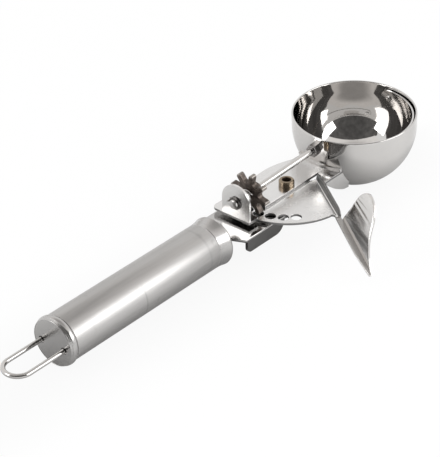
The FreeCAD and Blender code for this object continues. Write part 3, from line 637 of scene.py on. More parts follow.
def pressed_copy(name, node, bends, slot, body, look=None):
    """A merged copy of a CAD sheet with rounded bends and softened cut edges."""
    bm = bmesh.new()
    bm.from_mesh(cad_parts[node].data)
    bmesh.ops.remove_doubles(bm, verts=bm.verts[:], dist=3e-6)
    bmesh.ops.dissolve_limit(bm, angle_limit=radians(0.6), verts=bm.verts[:], edges=bm.edges[:])
    for first, second, radius in bends:
        bend_edges(bm, (first, second), radius)
    mesh = to_mesh(bm, name)
    shade(mesh, 30.0)
    thing = new_object(name, mesh)
    bevel(thing, bpy.context.scene.scoop_sizes.edge_rounding / MM, 2)
    fit_out(thing, slot, body, node, look)


# ---------------------------------------------------------------- Geometry Nodes


def new_tree(name, **inputs):
    """An empty Geometry Nodes tree with named inputs, its graph and its input node."""
    tree = bpy.data.node_groups.new(name, "GeometryNodeTree")
    tree.interface.new_socket("Geometry", in_out="OUTPUT", socket_type="NodeSocketGeometry")
    tree.interface.new_socket("Geometry", in_out="INPUT", socket_type="NodeSocketGeometry")
    for label, kind in inputs.items():
        tree.interface.new_socket(label.replace("_", " "), in_out="INPUT",
                                  socket_type="NodeSocket" + kind)
    graph = Graph(tree)
    return tree, graph, graph.add("NodeGroupInput")


def end_tree(graph, start, geometry):
    solid = graph.add("GeometryNodeRealizeInstances", {"Geometry": geometry})
    graph.add("NodeGroupOutput", {"Geometry": graph.add("GeometryNodeSetMaterial", {
        "Geometry": solid, "Material": start.out("Material")})})


def run_tree(thing, tree, values):
    """Puts a tree on an object, sets its inputs by identifier, and bakes the result."""
    modifier = thing.modifiers.new(tree.name, "NODES")
    modifier.node_group = tree
    for item in tree.interface.items_tree:
        if item.item_type == "SOCKET" and item.in_out == "INPUT" and item.name in values:
            modifier[item.identifier] = values[item.name]
    baked(thing)


def wire_tree():
    """Draws a round wire along the edges of a line, with its corners bent round."""
    tree, graph, start = new_tree("wire_along_line", Wire_radius="Float", Bend_radius="Float",
                                  Bend_steps="Int", Ring_steps="Int", Material="Material")
    line = graph.add("GeometryNodeMeshToCurve", {"Mesh": start})
    bent = graph.add("GeometryNodeFilletCurve", {
        "Curve": line, "Radius": start.out("Bend radius"),
        "Count": start.out("Bend steps"), "Limit Radius": True}, mode="POLY")
    ring = graph.add("GeometryNodeCurvePrimitiveCircle", {
        "Resolution": start.out("Ring steps"), "Radius": start.out("Wire radius")}, mode="RADIUS")
    end_tree(graph, start, graph.add("GeometryNodeCurveToMesh", {
        "Curve": bent, "Profile Curve": ring, "Fill Caps": True}))
    return tree


def hole_row_tree():
    """Cuts a row of round holes along an arc through a sheet."""
    tree, graph, start = new_tree(
        "row_of_holes", Hole_radius="Float", Circle_radius="Float", Count="Int",
        First_angle="Float", Pitch="Float", Depth="Float", Material="Material")
    angle = graph.add("GeometryNodeInputIndex") * start.out("Pitch") + start.out("First angle")
    reach = start.out("Circle radius")
    where = graph.combined(graph.maths("COSINE", angle) * reach, graph.maths("SINE", angle) * reach, 0.0)
    points = graph.add("GeometryNodePoints", {"Count": start.out("Count"), "Position": where})
    cutter = graph.add("GeometryNodeMeshCylinder", {
        "Vertices": 48, "Radius": start.out("Hole radius"), "Depth": start.out("Depth")})
    cutters = graph.add("GeometryNodeInstanceOnPoints", {"Points": points, "Instance": cutter})
    solid = graph.add("GeometryNodeRealizeInstances", {"Geometry": cutters})
    end_tree(graph, start, graph.add("GeometryNodeMeshBoolean", {"Mesh 1": start, "Mesh 2": [solid]},
                                     operation="DIFFERENCE", solver="EXACT"))
    return tree


def wheel_tree():
    """Repeats the outline of one tooth about Z, fills the ring and gives it a thickness."""
    tree, graph, start = new_tree("toothed_wheel", Teeth="Int", Thickness="Float", Material="Material")
    step = 2 * pi / start.out("Teeth")
    turn = graph.combined(0.0, 0.0, graph.add("GeometryNodeInputIndex") * step)
    points = graph.add("GeometryNodePoints", {"Count": start.out("Teeth")})
    spread = graph.add("GeometryNodeInstanceOnPoints", {
        "Points": points, "Instance": start, "Rotation": turn})
    loose = graph.add("GeometryNodeRealizeInstances", {"Geometry": spread})
    joined = graph.add("GeometryNodeMergeByDistance", {"Geometry": loose, "Distance": 2e-5})
    outline = graph.add("GeometryNodeMeshToCurve", {"Mesh": joined})
    disc = graph.add("GeometryNodeFillCurve", {"Curve": outline}, mode="NGONS")
    walls = graph.add("GeometryNodeExtrudeMesh", {
        "Mesh": disc, "Offset": graph.combined(0.0, 0.0, start.out("Thickness")),
        "Offset Scale": 1.0, "Individual": False}, mode="FACES")
    under = graph.add("GeometryNodeFlipFaces", {"Mesh": disc})
    whole = graph.add("GeometryNodeJoinGeometry", {"Geometry": [walls, under]})
    end_tree(graph, start, graph.add("GeometryNodeMergeByDistance", {"Geometry": whole, "Distance": 1e-6}))
    return tree


def line_object(name, points, place):
    """An object whose mesh is one open line through the points."""
    mesh = bpy.data.meshes.new(name)
    mesh.from_pydata([place @ Vector(point).to_3d() for point in points],
                     [(i, i + 1) for i in range(len(points) - 1)], [])
    return new_object(name, mesh)


def wire_piece(name, points, place, wire, bend, steps, slot, body, node, turned=()):
    """A wire along a line, with turned heads joined to it; wire and bend are radii."""
    thing = line_object(name, points, place)
    run_tree(thing, wire_tree(), {
        "Wire radius": wire * MM, "Bend radius": bend * MM, "Bend steps": steps, "Ring steps": 24,
        "Material": metal(slot)})
    close_up(thing, turned)
    shade(thing.data, 40.0)
    fit_out(thing, slot, body, node)


# ---------------------------------------------------------------- operators: handle


class SCOOP_OT_handle_tube(bpy.types.Operator):
    """Make the round handle tube"""

    bl_idname = "scoop.handle_tube"
    bl_label = "Handle tube"

    def execute(self, context):
        radius = context.scene.scoop_sizes.tube_radius / MM
        start, end = outside("handle_tube", 0)
        edge = 0.12
        profile = rounded([(start, radius, edge), (end, radius, edge),
                           (end, radius - TUBE_WALL, edge), (start, radius - TUBE_WALL, edge)], 3)
        turned_piece("handle_tube_brushed", [profile], 144, IN_PLACE,
                     "handle_steel", "frame", "handle_tube")
        return {"FINISHED"}


class SCOOP_OT_end_caps(bpy.types.Operator):
    """Make the beaded rear cap and the flared front collar of the handle"""

    bl_idname = "scoop.end_caps"
    bl_label = "End caps"

    def execute(self, context):
        radius = context.scene.scoop_sizes.tube_radius / MM
        self.rear(radius)
        self.front(radius)
        return {"FINISHED"}

    def rear(self, radius):
        seam, spigot = radius - 0.35, radius - 0.82
        bead = [(2.625 - 1.425 * cos(pi * step / 12), radius + 0.6 * sin(pi * step / 12))
                for step in range(13)]
        profile = [(0, 0)] + rounded([(0, radius - 0.5, 0.15), (0.5, radius, 0.12), (0.85, seam, 0.08)], 3)
        profile += bead + [(4.4, seam), (4.4, spigot), (10.4, spigot),
                           (10.4, spigot - 1), (1.2, spigot - 1), (1.2, 0)]
        bm, drill = bmesh.new(), bmesh.new()
        lathe(bm, profile, 144, IN_PLACE)
        cap = new_solid("rear_cap_turned", bm)
        for side in (-1, 1):
            lathe(drill, [(-1, 0), (-1, 1.6), (2.4, 1.6), (2.4, 0)], 40, at(0, side * 6.5, -1))
        cutter = new_solid("loop_leg_drill", drill)
        cut = cap.modifiers.new("leg holes", "BOOLEAN")
        cut.operation, cut.solver, cut.object = "DIFFERENCE", "EXACT", cutter
        baked(cap)
        bpy.data.objects.remove(cutter)
        shade(cap.data, 24.0)
        fit_out(cap, "cap_steel", "frame", "rear_cap")

    def front(self, radius):
        start, end = 94.0, outside("front_cap", 0)[1]
        inside = radius - 0.82
        profile = [(88.0, 0), (88.0, inside), (start, inside), (start, radius - 0.2)]
        profile += [(start + 0.2 + step / 16 * (end - 1.5 - start), radius + 0.75 * (step / 16) ** 2)
                    for step in range(17)]
        profile += arc_points((end - 1.3, radius - 0.55), 1.3, 84, 0, 8)
        profile += [(end, 6.6), (end - 0.35, 6.2), (end - 0.35, 0)]
        turned_piece("front_collar_turned", [profile], 144, IN_PLACE,
                     "cap_steel", "frame", "front_cap", angle=26.0)


class SCOOP_OT_hanging_loop(bpy.types.Operator):
    """Bend the bright wire loop at the end of the handle"""

    bl_idname = "scoop.hanging_loop"
    bl_label = "Hanging loop"

    def execute(self, context):
        wire = context.scene.scoop_sizes.loop_wire / MM
        back = outside("hanging_loop", 0)[0] + wire
        points = [(2.6, -6.5, -1), (back, -6.5, -1), (back, 6.5, -1), (2.6, 6.5, -1)]
        heads = [(barrel(0, 1.5, 2.1, 0.3), at(1.2, side * 6.5, -1)) for side in (-1, 1)]
        wire_piece("hanging_loop_wire", points, IN_PLACE, wire, 6.5, 40,
                   "wire_steel", "frame", "hanging_loop", heads)
        return {"FINISHED"}


class SCOOP_OT_tang_parts(bpy.types.Operator):
    """Make the block and the pin that hold the lower sheet inside the tube"""

    bl_idname = "scoop.tang_parts"
    bl_label = "Tang block and pin"

    def execute(self, context):
        start, end = outside("tang_block", 0)
        turned_piece("tang_block_turned", [barrel(start, end, 10.18, 0.5)], 72, IN_PLACE,
                     "block_metal", "frame", "tang_block")
        low = outside("tang_pin", 2)[0]
        turned_piece("tang_pin_turned", [barrel(0, -2 * low, 1.5, 0.3)], 32,
                     upright((start + end) / 2, low), "pin_steel", "frame", "tang_pin")
        return {"FINISHED"}


# ---------------------------------------------------------------- operators: frame and pivot


class SCOOP_OT_frame_sheets(bpy.types.Operator):
    """Press the lower and the upper frame sheet, with their bent sides and ear"""

    bl_idname = "scoop.frame_sheets"
    bl_label = "Frame sheets"

    def execute(self, context):
        bend = context.scene.scoop_sizes.bend_rounding / MM
        pressed_copy("lower_frame_sheet", "base_plate",
                     [((1, side * 13.4), (2, BASE_TOP), bend) for side in (-1, 1)],
                     "frame_steel", "frame")
        ear = outside("upper_plate", 0)[0]
        bends = [((0, ear), (2, UPPER_LOW), bend), ((0, ear + SHEET), (2, UPPER_TOP), 0.45)]
        bends += [((1, side * 12.3), (2, UPPER_TOP), bend) for side in (-1, 1)]
        pressed_copy("upper_frame_sheet", "upper_plate", bends, "frame_steel", "frame", "upper_sheet")
        return {"FINISHED"}


class SCOOP_OT_pivot(bpy.types.Operator):
    """Turn the brass bush that the lever swings on, and its washer"""

    bl_idname = "scoop.pivot"
    bl_label = "Pivot bush and washer"

    def execute(self, context):
        low, high = outside("pivot_bush", 2)
        ledge, tall, foot = UPPER_TOP - low, high - low, 0.8
        profile = rounded([
            (0, 2.1, 0.15), (0, 4.2, 0.2), (foot, 4.2, 0.2), (foot, 3.0),
            (ledge, 3.0), (ledge, 3.7, 0.12), (tall - 0.55, 3.7, 0.2),
            (tall, 3.15, 0.2), (tall, 2.1, 0.25)], 4)
        stand = PIVOT.x / MM
        turned_piece("pivot_bush_brass", [profile], 72, upright(stand, low),
                     "bush_brass", "frame", "pivot_bush")
        turned_piece("pivot_washer_turned", [barrel(0, 0.45, 7.4, 0.12, bore=3.06)], 72,
                     upright(stand, outside("pivot_washer", 2)[0]),
                     "washer_steel", "frame", "pivot_washer")
        return {"FINISHED"}


# ---------------------------------------------------------------- operators: lever

FRONT_START = Vector((15.65, -6.8))
FRONT_END = Vector((-4.0, -35.0))
FRONT_LENGTH = (FRONT_END - FRONT_START).length
FRONT_WAY = (FRONT_END - FRONT_START).normalized()
FRONT_OUTWARD = Vector((-FRONT_WAY.y, FRONT_WAY.x))
ARM_ROOT = Vector((*FRONT_END, SHEET))
ARM_ALONG = Vector((-15.0, -30.0, -13.0)).normalized()
ARM_LENGTH = 34.0
PAD_LEAN = Vector((4.5, -11.0, 20.3))
PAD_HEIGHT = 19.5
PAD_RADIUS = 34.0
PAD_MIDDLE = 8.0
PAD_OUTLINE = [(1.0, -0.03), (0.79, 0.17), (0.62, 0.46), (0.46, 0.80), (0.27, 0.98),
               (0.10, 1.00), (0.03, 0.80), (0.06, 0.38), (0.04, -0.06)]
CREASES = [((0.05, 0.62), (0.44, 0.66), 0.022), ((0.04, 0.70), (0.40, 0.80), 0.026),
           ((0.06, 0.78), (0.30, 0.95), 0.022)]


class SCOOP_OT_lever(bpy.types.Operator):
    """Press the thumb lever: fan with its row of holes, front flange, strip and thumb pad"""

    bl_idname = "scoop.lever"
    bl_label = "Thumb lever"

    def execute(self, context):
        sizes = context.scene.scoop_sizes
        place = at(PIVOT.x / MM, 0, LEVER_BOTTOM)
        self.fan(sizes)
        self.flange(place)
        self.strip(place)
        self.pad(sizes, place)
        return {"FINISHED"}

    def fan(self, sizes):
        radius = (sizes.hole_circle + sizes.hole_radius + sizes.fan_rim) / MM
        inward = FRONT_OUTWARD * -0.35
        corner = degrees(atan2(FRONT_END.y, FRONT_END.x)) % 360
        outline = arc_points((0, 0), radius, 166.0, corner - 3.0, 64)
        outline += [FRONT_END + inward, FRONT_START + inward]
        outline += arc_points((0, 0), 9.0, -20.0, 140.0, 30)
        bm = bmesh.new()
        prism(bm, outline, 0.0, SHEET, IN_PLACE)
        fan = new_solid("lever_fan_sheet", bm)
        run_tree(fan, hole_row_tree(), {
            "Hole radius": sizes.hole_radius, "Circle radius": sizes.hole_circle,
            "Count": sizes.holes, "First angle": radians(180 - 10.0 / 3.5),
            "Pitch": radians(360 / 28), "Depth": 4 * SHEET * MM, "Material": metal("lever_steel")})
        fan.data.transform(Matrix.Translation(PIVOT + Vector((0, 0, LEVER_BOTTOM * MM))))
        shade(fan.data, 28.0)
        bevel(fan, sizes.edge_rounding / MM, 2)
        fit_out(fan, "lever_steel", "lever", "lever_plate")

    def flange(self, place):
        """The upright front edge, bent up from the fan by a round bend."""
        # How far along the edge each station is, and how high the flange stands there over the fan.
        stations = [(0.0, 1.2), (0.4, 2.1), (1.1, 3.2), (2.2, 3.85), (FRONT_LENGTH / 2, 3.5),
                    (FRONT_LENGTH - 3.2, 3.15), (FRONT_LENGTH - 1.2, 2.3), (FRONT_LENGTH, 1.0)]
        inner, bend = -SHEET, 0.95
        bm = bmesh.new()
        rings = []
        for distance, over in stations:
            high = SHEET + over
            section = [(-2.4, 0.0)] + arc_points((-bend, bend), bend, -90, 0, 6) + [
                (0, high - 0.3), (-0.1, high - 0.08), (-0.35, high), (inner + 0.35, high),
                (inner + 0.1, high - 0.08), (inner, high - 0.3), (inner, SHEET + 0.5),
                (inner - 0.15, SHEET + 0.15), (inner - 0.5, SHEET - 0.001), (-2.4, SHEET - 0.06)]
            here = FRONT_START + FRONT_WAY * distance
            rings.append([bm.verts.new(place @ Vector((*(here + FRONT_OUTWARD * out), up)))
                          for out, up in section])
        for ring, other in zip(rings, rings[1:]):
            bridge(bm, ring, other)
        bm.faces.new(rings[0])
        bm.faces.new(rings[-1])
        fit_out(new_solid("lever_flange_bent", bm, 40.0), "lever_steel", "lever", "lever_plate",
                "lever_fold")

    def strip(self, place):
        """The tapered strip on the handle side of the fold."""
        inward = ARM_ALONG.cross(Vector((0, 0, 1))).normalized()
        down = ARM_ALONG.cross(inward).normalized()
        corners = [(0.0, 0.0), (1.0, 0.0), (1.0, 1.3), (0.6, 2.6), (0.0, 2.6)]
        bm = bmesh.new()
        rows = [[bm.verts.new(place @ (ARM_ROOT + ARM_ALONG * (ARM_LENGTH * share)
                                       + inward * wide + down * depth)) for share, wide in corners]
                for depth in (0.0, SHEET)]
        bm.faces.new(rows[0])
        bm.faces.new(rows[1][::-1])
        bridge(bm, rows[1], rows[0])
        thing = new_solid("pad_strip_sheet", bm)
        bevel(thing, 0.3, 4)
        fit_out(thing, "lever_steel", "lever", "lever_plate", "lever_pad")

    def pad(self, sizes, place):
        """The curved leaf for the thumb, with a few soft creases fanning out near its top."""
        up = (PAD_LEAN - ARM_ALONG * PAD_LEAN.dot(ARM_ALONG)).normalized()
        normal = ARM_ALONG.cross(up)
        outline = smooth_outline(PAD_OUTLINE, 14)
        rows, columns = 44, 40
        low, high = min(point.y for point in outline), max(point.y for point in outline)
        depth = sqrt(PAD_RADIUS ** 2 - PAD_MIDDLE ** 2)
        edge_round = 0.12
        bm = bmesh.new()
        grids = [[], []]
        for side, grid in enumerate(grids):
            for row in range(rows + 1):
                share = 1 - (1 - row / rows) ** 1.5
                height = low + (high - low) * min(share, 0.9995)
                rise = PAD_HEIGHT * height
                left, right = span_at(outline, height)
                line = []
                for column in range(columns + 1):
                    along = left + (right - left) * column / columns
                    edge = min(column, columns - column) / columns * (right - left) * ARM_LENGTH
                    crown = PAD_HEIGHT * (high - height)
                    roll = edge_round * max(0.0, 1 - min(edge, crown) / 0.45)
                    radius = PAD_RADIUS - (SHEET - roll if side else roll)
                    out = sqrt(radius ** 2 - (rise - PAD_MIDDLE) ** 2) - depth
                    out += crease(along, height) * sizes.crease_depth / MM
                    line.append(bm.verts.new(place @ (
                        ARM_ROOT + ARM_ALONG * (ARM_LENGTH * along) + up * rise + normal * out)))
                grid.append(line)
        bent_sheet(bm, grids)
        fit_out(new_solid("thumb_pad_leaf", bm, 50.0), "lever_steel", "lever", "lever_plate",
                "lever_pad")


def smooth_outline(points, steps):
    """A smooth line through the points, sampled between each two of them."""
    out = []
    for i in range(len(points) - 1):
        before, start, end, after = [Vector(points[min(max(i + step, 0), len(points) - 1)])
                                     for step in (-1, 0, 1, 2)]
        for t in (step / steps for step in range(steps)):
            out.append(0.5 * (2 * start + (end - before) * t
                              + (2 * before - 5 * start + 4 * end - after) * t ** 2
                              + (3 * start - before - 3 * end + after) * t ** 3))
    return out + [Vector(points[-1])]


def span_at(outline, height):
    """The outline's nearest and farthest share of the arm at one height."""
    crossings = []
    for first, second in zip(outline, outline[1:]):
        if (first.y - height) * (second.y - height) <= 0 and abs(first.y - second.y) > 1e-9:
            share = (height - first.y) / (second.y - first.y)
            crossings.append(first.x + (second.x - first.x) * share)
    if not crossings:
        crossings = [point.x for point in outline if point.y <= height + 1e-6] or [0.04, 1.0]
    return min(crossings), max(crossings)


def crease(along, height):
    """Depth of the pad's creases at a place on it, from 0 to about 1."""
    total = 0.0
    for start, end, width in CREASES:
        line, offset = Vector(end) - Vector(start), Vector((along, height)) - Vector(start)
        share = max(0.0, min(1.0, offset.dot(line) / line.length_squared))
        total -= exp(-((offset - line * share).length / width) ** 2) * (1 - 0.6 * share)
    return total


# ---------------------------------------------------------------- operators: drive


class SCOOP_OT_rod(bpy.types.Operator):
    """Turn the long drive rod with its two heads, the washer behind the ear and the cross pin"""

    bl_idname = "scoop.rod"
    bl_label = "Drive rod"

    def execute(self, context):
        rod = context.scene.scoop_sizes.rod_radius / MM
        head, head_long = rod + 0.8, 1.3
        washer = along_rod(outside("upper_plate", 0)[0]) - 3.2 * sin(ROD_SLOPE) - 0.5
        rear = washer - 0.15 - head_long
        eye = -BLADE_INNER
        profile = rounded([
            (rear, 0), (rear, head, 0.8), (rear + head_long, head, 0.12), (rear + head_long, rod),
            (eye + 0.1, rod), (eye + 0.1, head, 0.1), (eye + 1, head, 0.5), (eye + 1, 0)], 6)
        turned_piece("drive_rod_turned", [profile], 48, ROD_FRAME, "rod_steel", "rod", "rod")
        ring = barrel(washer, washer + 0.5, 3.2, 0.12, bore=rod + 0.06)
        turned_piece("ear_washer_turned", [ring], 48, ROD_FRAME, "washer_steel", "frame", "ear_washer",
                     look="bush_steel")
        low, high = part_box("wheel_pin")
        half = high.y / MM
        across = at(*((low + high) / (2 * MM))) @ Matrix.Rotation(pi / 2, 4, "Z")
        turned_piece("wheel_pin_turned", [barrel(-half, half, 0.6, 0.2, 4)], 24, across,
                     "pin_steel", "rod", "wheel_pin")
        return {"FINISHED"}


class SCOOP_OT_star_wheel(bpy.types.Operator):
    """Cast the toothed wheel and its hub"""

    bl_idname = "scoop.star_wheel"
    bl_label = "Star wheel"

    def execute(self, context):
        teeth = context.scene.scoop_sizes.teeth
        wheel = line_object("star_wheel_cast", self.tooth(teeth), IN_PLACE)
        run_tree(wheel, wheel_tree(), {
            "Teeth": teeth, "Thickness": 3.2 * MM, "Material": metal("wheel_metal")})
        stand = Matrix(((0, 0, 1, WHEEL_REAR * MM), (0, 1, 0, 0), (-1, 0, 0, 0), (0, 0, 0, 1)))
        wheel.data.transform(ROD_PLACE @ stand)
        close_up(wheel)
        shade(wheel.data, 30.0)
        bevel(wheel, 0.28, 3, 40.0, harden=False)
        fit_out(wheel, "wheel_metal", "rod", "star_wheel")
        rod, start, end = 1.5, WHEEL_REAR + 3.0, WHEEL_REAR + 6.4
        rear, front = WHEEL_REAR - 0.02, WHEEL_REAR + 0.6
        hub = rounded([(start, rod), (start, 3.6), (end, 3.6, 0.35), (end, rod)], 4)
        collar = rounded([(rear, rod), (rear, 2.5, 0.05), (front, 2.5), (front, rod)], 3)
        turned_piece("star_wheel_hub", [hub, collar], 48, ROD_FRAME, "wheel_metal", "rod", "star_wheel")
        return {"FINISHED"}

    def tooth(self, teeth):
        """One tooth from gap to gap, in the plane of the wheel with the tooth along +X."""
        tip, root, half = 10.43, 5.9, 1.1
        pitch = pi / teeth
        gap = (root - half) / (1 - sin(pitch))
        out, aside = gap * cos(pitch), gap * sin(pitch)
        bottom = 180 - degrees(pitch)
        points = arc_points((out, -aside), gap - root, bottom, 90, 6)
        points += arc_points((tip - half, 0), half, -90, 90, 12)
        points += arc_points((out, aside), gap - root, -90, -bottom, 6)
        rest = Matrix.Rotation(radians(10.0), 2)
        return [rest @ point for point in points]


class SCOOP_OT_return_spring(bpy.types.Operator):
    """Wind the return spring round the rod"""

    bl_idname = "scoop.return_spring"
    bl_label = "Return spring"

    def execute(self, context):
        sizes = context.scene.scoop_sizes
        wire, count = sizes.spring_wire / MM, sizes.spring_turns
        coil = 2.75
        pitch = (7.5 - 2 * wire - 0.56) / count
        begin = WHEEL_REAR - 3.75 - count * pitch / 2
        first = radians(45.0)
        last = 2 * pi * count + first
        points = []
        steps = int(round(count * 28))
        for turns in (count * step / steps for step in range(steps + 1)):
            angle = 2 * pi * turns + first
            points.append(Vector((begin + pitch * turns, coil * cos(angle), coil * sin(angle))))
        rear_corner = points[0] + Vector((-0.1, 1.1 * sin(first), -1.1 * cos(first)))
        front_corner = points[-1] + Vector((0.1, -1.1 * sin(last), 1.1 * cos(last)))
        ear = along_rod(outside("upper_plate", 0)[0])
        rear_end = Vector((ear - 2.6, rear_corner.y, rear_corner.z))
        front_end = Vector((WHEEL_REAR + 0.8, front_corner.y, front_corner.z))
        wire_piece("return_spring_coil", [rear_end, rear_corner] + points + [front_corner, front_end],
                   ROD_FRAME, wire, 1.0, 5, "spring_steel", "frame", "return_spring")
        return {"FINISHED"}


# ---------------------------------------------------------------- operators: bowl


class SCOOP_OT_bowl(bpy.types.Operator):
    """Spin the bowl, and make the six-sided rod bush and the far pivot pin"""

    bl_idname = "scoop.bowl"
    bl_label = "Bowl and its bearings"

    def execute(self, context):
        sizes = context.scene.scoop_sizes
        radius = sizes.bowl_radius / MM
        self.shell(radius, radius - sizes.bowl_wall / MM, sizes.rim_rounding / MM)
        self.bush(radius, sizes.rod_radius / MM)
        self.pin(radius)
        return {"FINISHED"}

    def shell(self, outer, inner, edge):
        rim = 6.1 - edge
        profile = arc_points((0, 0), outer, 180, 90, 72)
        profile += [(rim * step / 8, outer) for step in range(1, 8)]
        profile += arc_points((rim, outer - edge), edge, 90, 0, 8)
        profile += arc_points((rim, inner + edge), edge, 0, -90, 8)
        profile += [(rim * (1 - step / 8), inner) for step in range(1, 8)]
        profile += arc_points((0, 0), inner, 90, 180, 72)
        turned_piece("bowl_mirror_shell", [profile], 256, ROD_FRAME @ Matrix.Rotation(-pi / 2, 4, "Y"),
                     "bowl_steel", "frame", "bowl", angle=60.0)

    def bush(self, radius, rod):
        """Six flats outside the wall, a round shank through it, and the rod's bore."""
        start, end = -radius - 3.4, -radius + 0.45
        corner = 2.8 * 2 / sqrt(3)
        outline = [(corner * cos(pi / 3 * i), corner * sin(pi / 3 * i)) for i in range(6)]
        stand = Matrix(((0, 0, 1, 0), (1, 0, 0, 0), (0, 1, 0, 0), (0, 0, 0, 1)))
        bm = bmesh.new()
        prism(bm, outline, start, end, ROD_FRAME @ stand)
        thing = new_solid("rod_bush_six_sided", bm)
        bevel(thing, 0.35, 4)
        baked(thing)
        fit_out(thing, "bush_steel", "frame", "rod_bush")
        rear, front, bore = start - 0.25, end + 0.5, rod + 0.06
        shank = rounded([(rear, bore), (rear, 2.2, 0.15), (front, 2.2, 0.1), (front, bore)], 3)
        turned_piece("rod_bush_shank", [shank], 40, ROD_FRAME, "bush_steel", "frame", "rod_bush")

    def pin(self, radius):
        inner = BLADE_INNER - 0.6
        profile = rounded([
            (inner, 0), (inner, 1.5, 0.3), (radius - 0.4, 1.5), (radius - 0.4, 2.8),
            (radius + 0.55, 2.8, 0.3), (radius + 1.2, 2.1, 0.5), (radius + 1.2, 0)], 5)
        turned_piece("far_pivot_rivet", [profile], 48, ROD_FRAME,
                     "pin_steel", "frame", "far_pivot_pin")


class SCOOP_OT_scraper(bpy.types.Operator):
    """Bend the thin scraper strip that follows the inside of the bowl"""

    bl_idname = "scoop.scraper"
    bl_label = "Scraper blade"

    def execute(self, context):
        lengthwise, across = 96, 10
        past_each_end = 0.5
        bm = bmesh.new()
        grids = []
        for radius in (BLADE_OUTER, BLADE_INNER):
            swings = [-past_each_end + (pi + 2 * past_each_end) * step / lengthwise
                      for step in range(lengthwise + 1)]
            grids.append([[bm.verts.new(ROD_FRAME @ self.point(radius, swing, 2 * column / across - 1,
                                                               past_each_end))
                           for column in range(across + 1)] for swing in swings])
        bent_sheet(bm, grids)
        thing = new_solid("scraper_strip_bent", bm, 40.0)
        bevel(thing, 0.12, 2, 50.0)
        fit_out(thing, "blade_steel", "rod", "scraper_blade")
        return {"FINISHED"}

    def point(self, radius, swing, share, most_past):
        """A place on the sphere; past its two ends the strip is a round eye about the rod's line."""
        half = 4.5
        angle = min(max(swing, 0.0), pi)
        past = swing - angle
        lean = abs(past) / most_past * pi / 2
        lift, reach = half * cos(lean) * share, half * sin(lean)
        flat = (-1.0 if past < 0 else 1.0, 0.0) if past else (-cos(angle), -sin(angle))
        out = sqrt(max(radius ** 2 - lift ** 2 - reach ** 2, 0.0))
        return Vector((flat[0] * out, flat[1] * out + reach, lift))


# ---------------------------------------------------------------- operator: stage


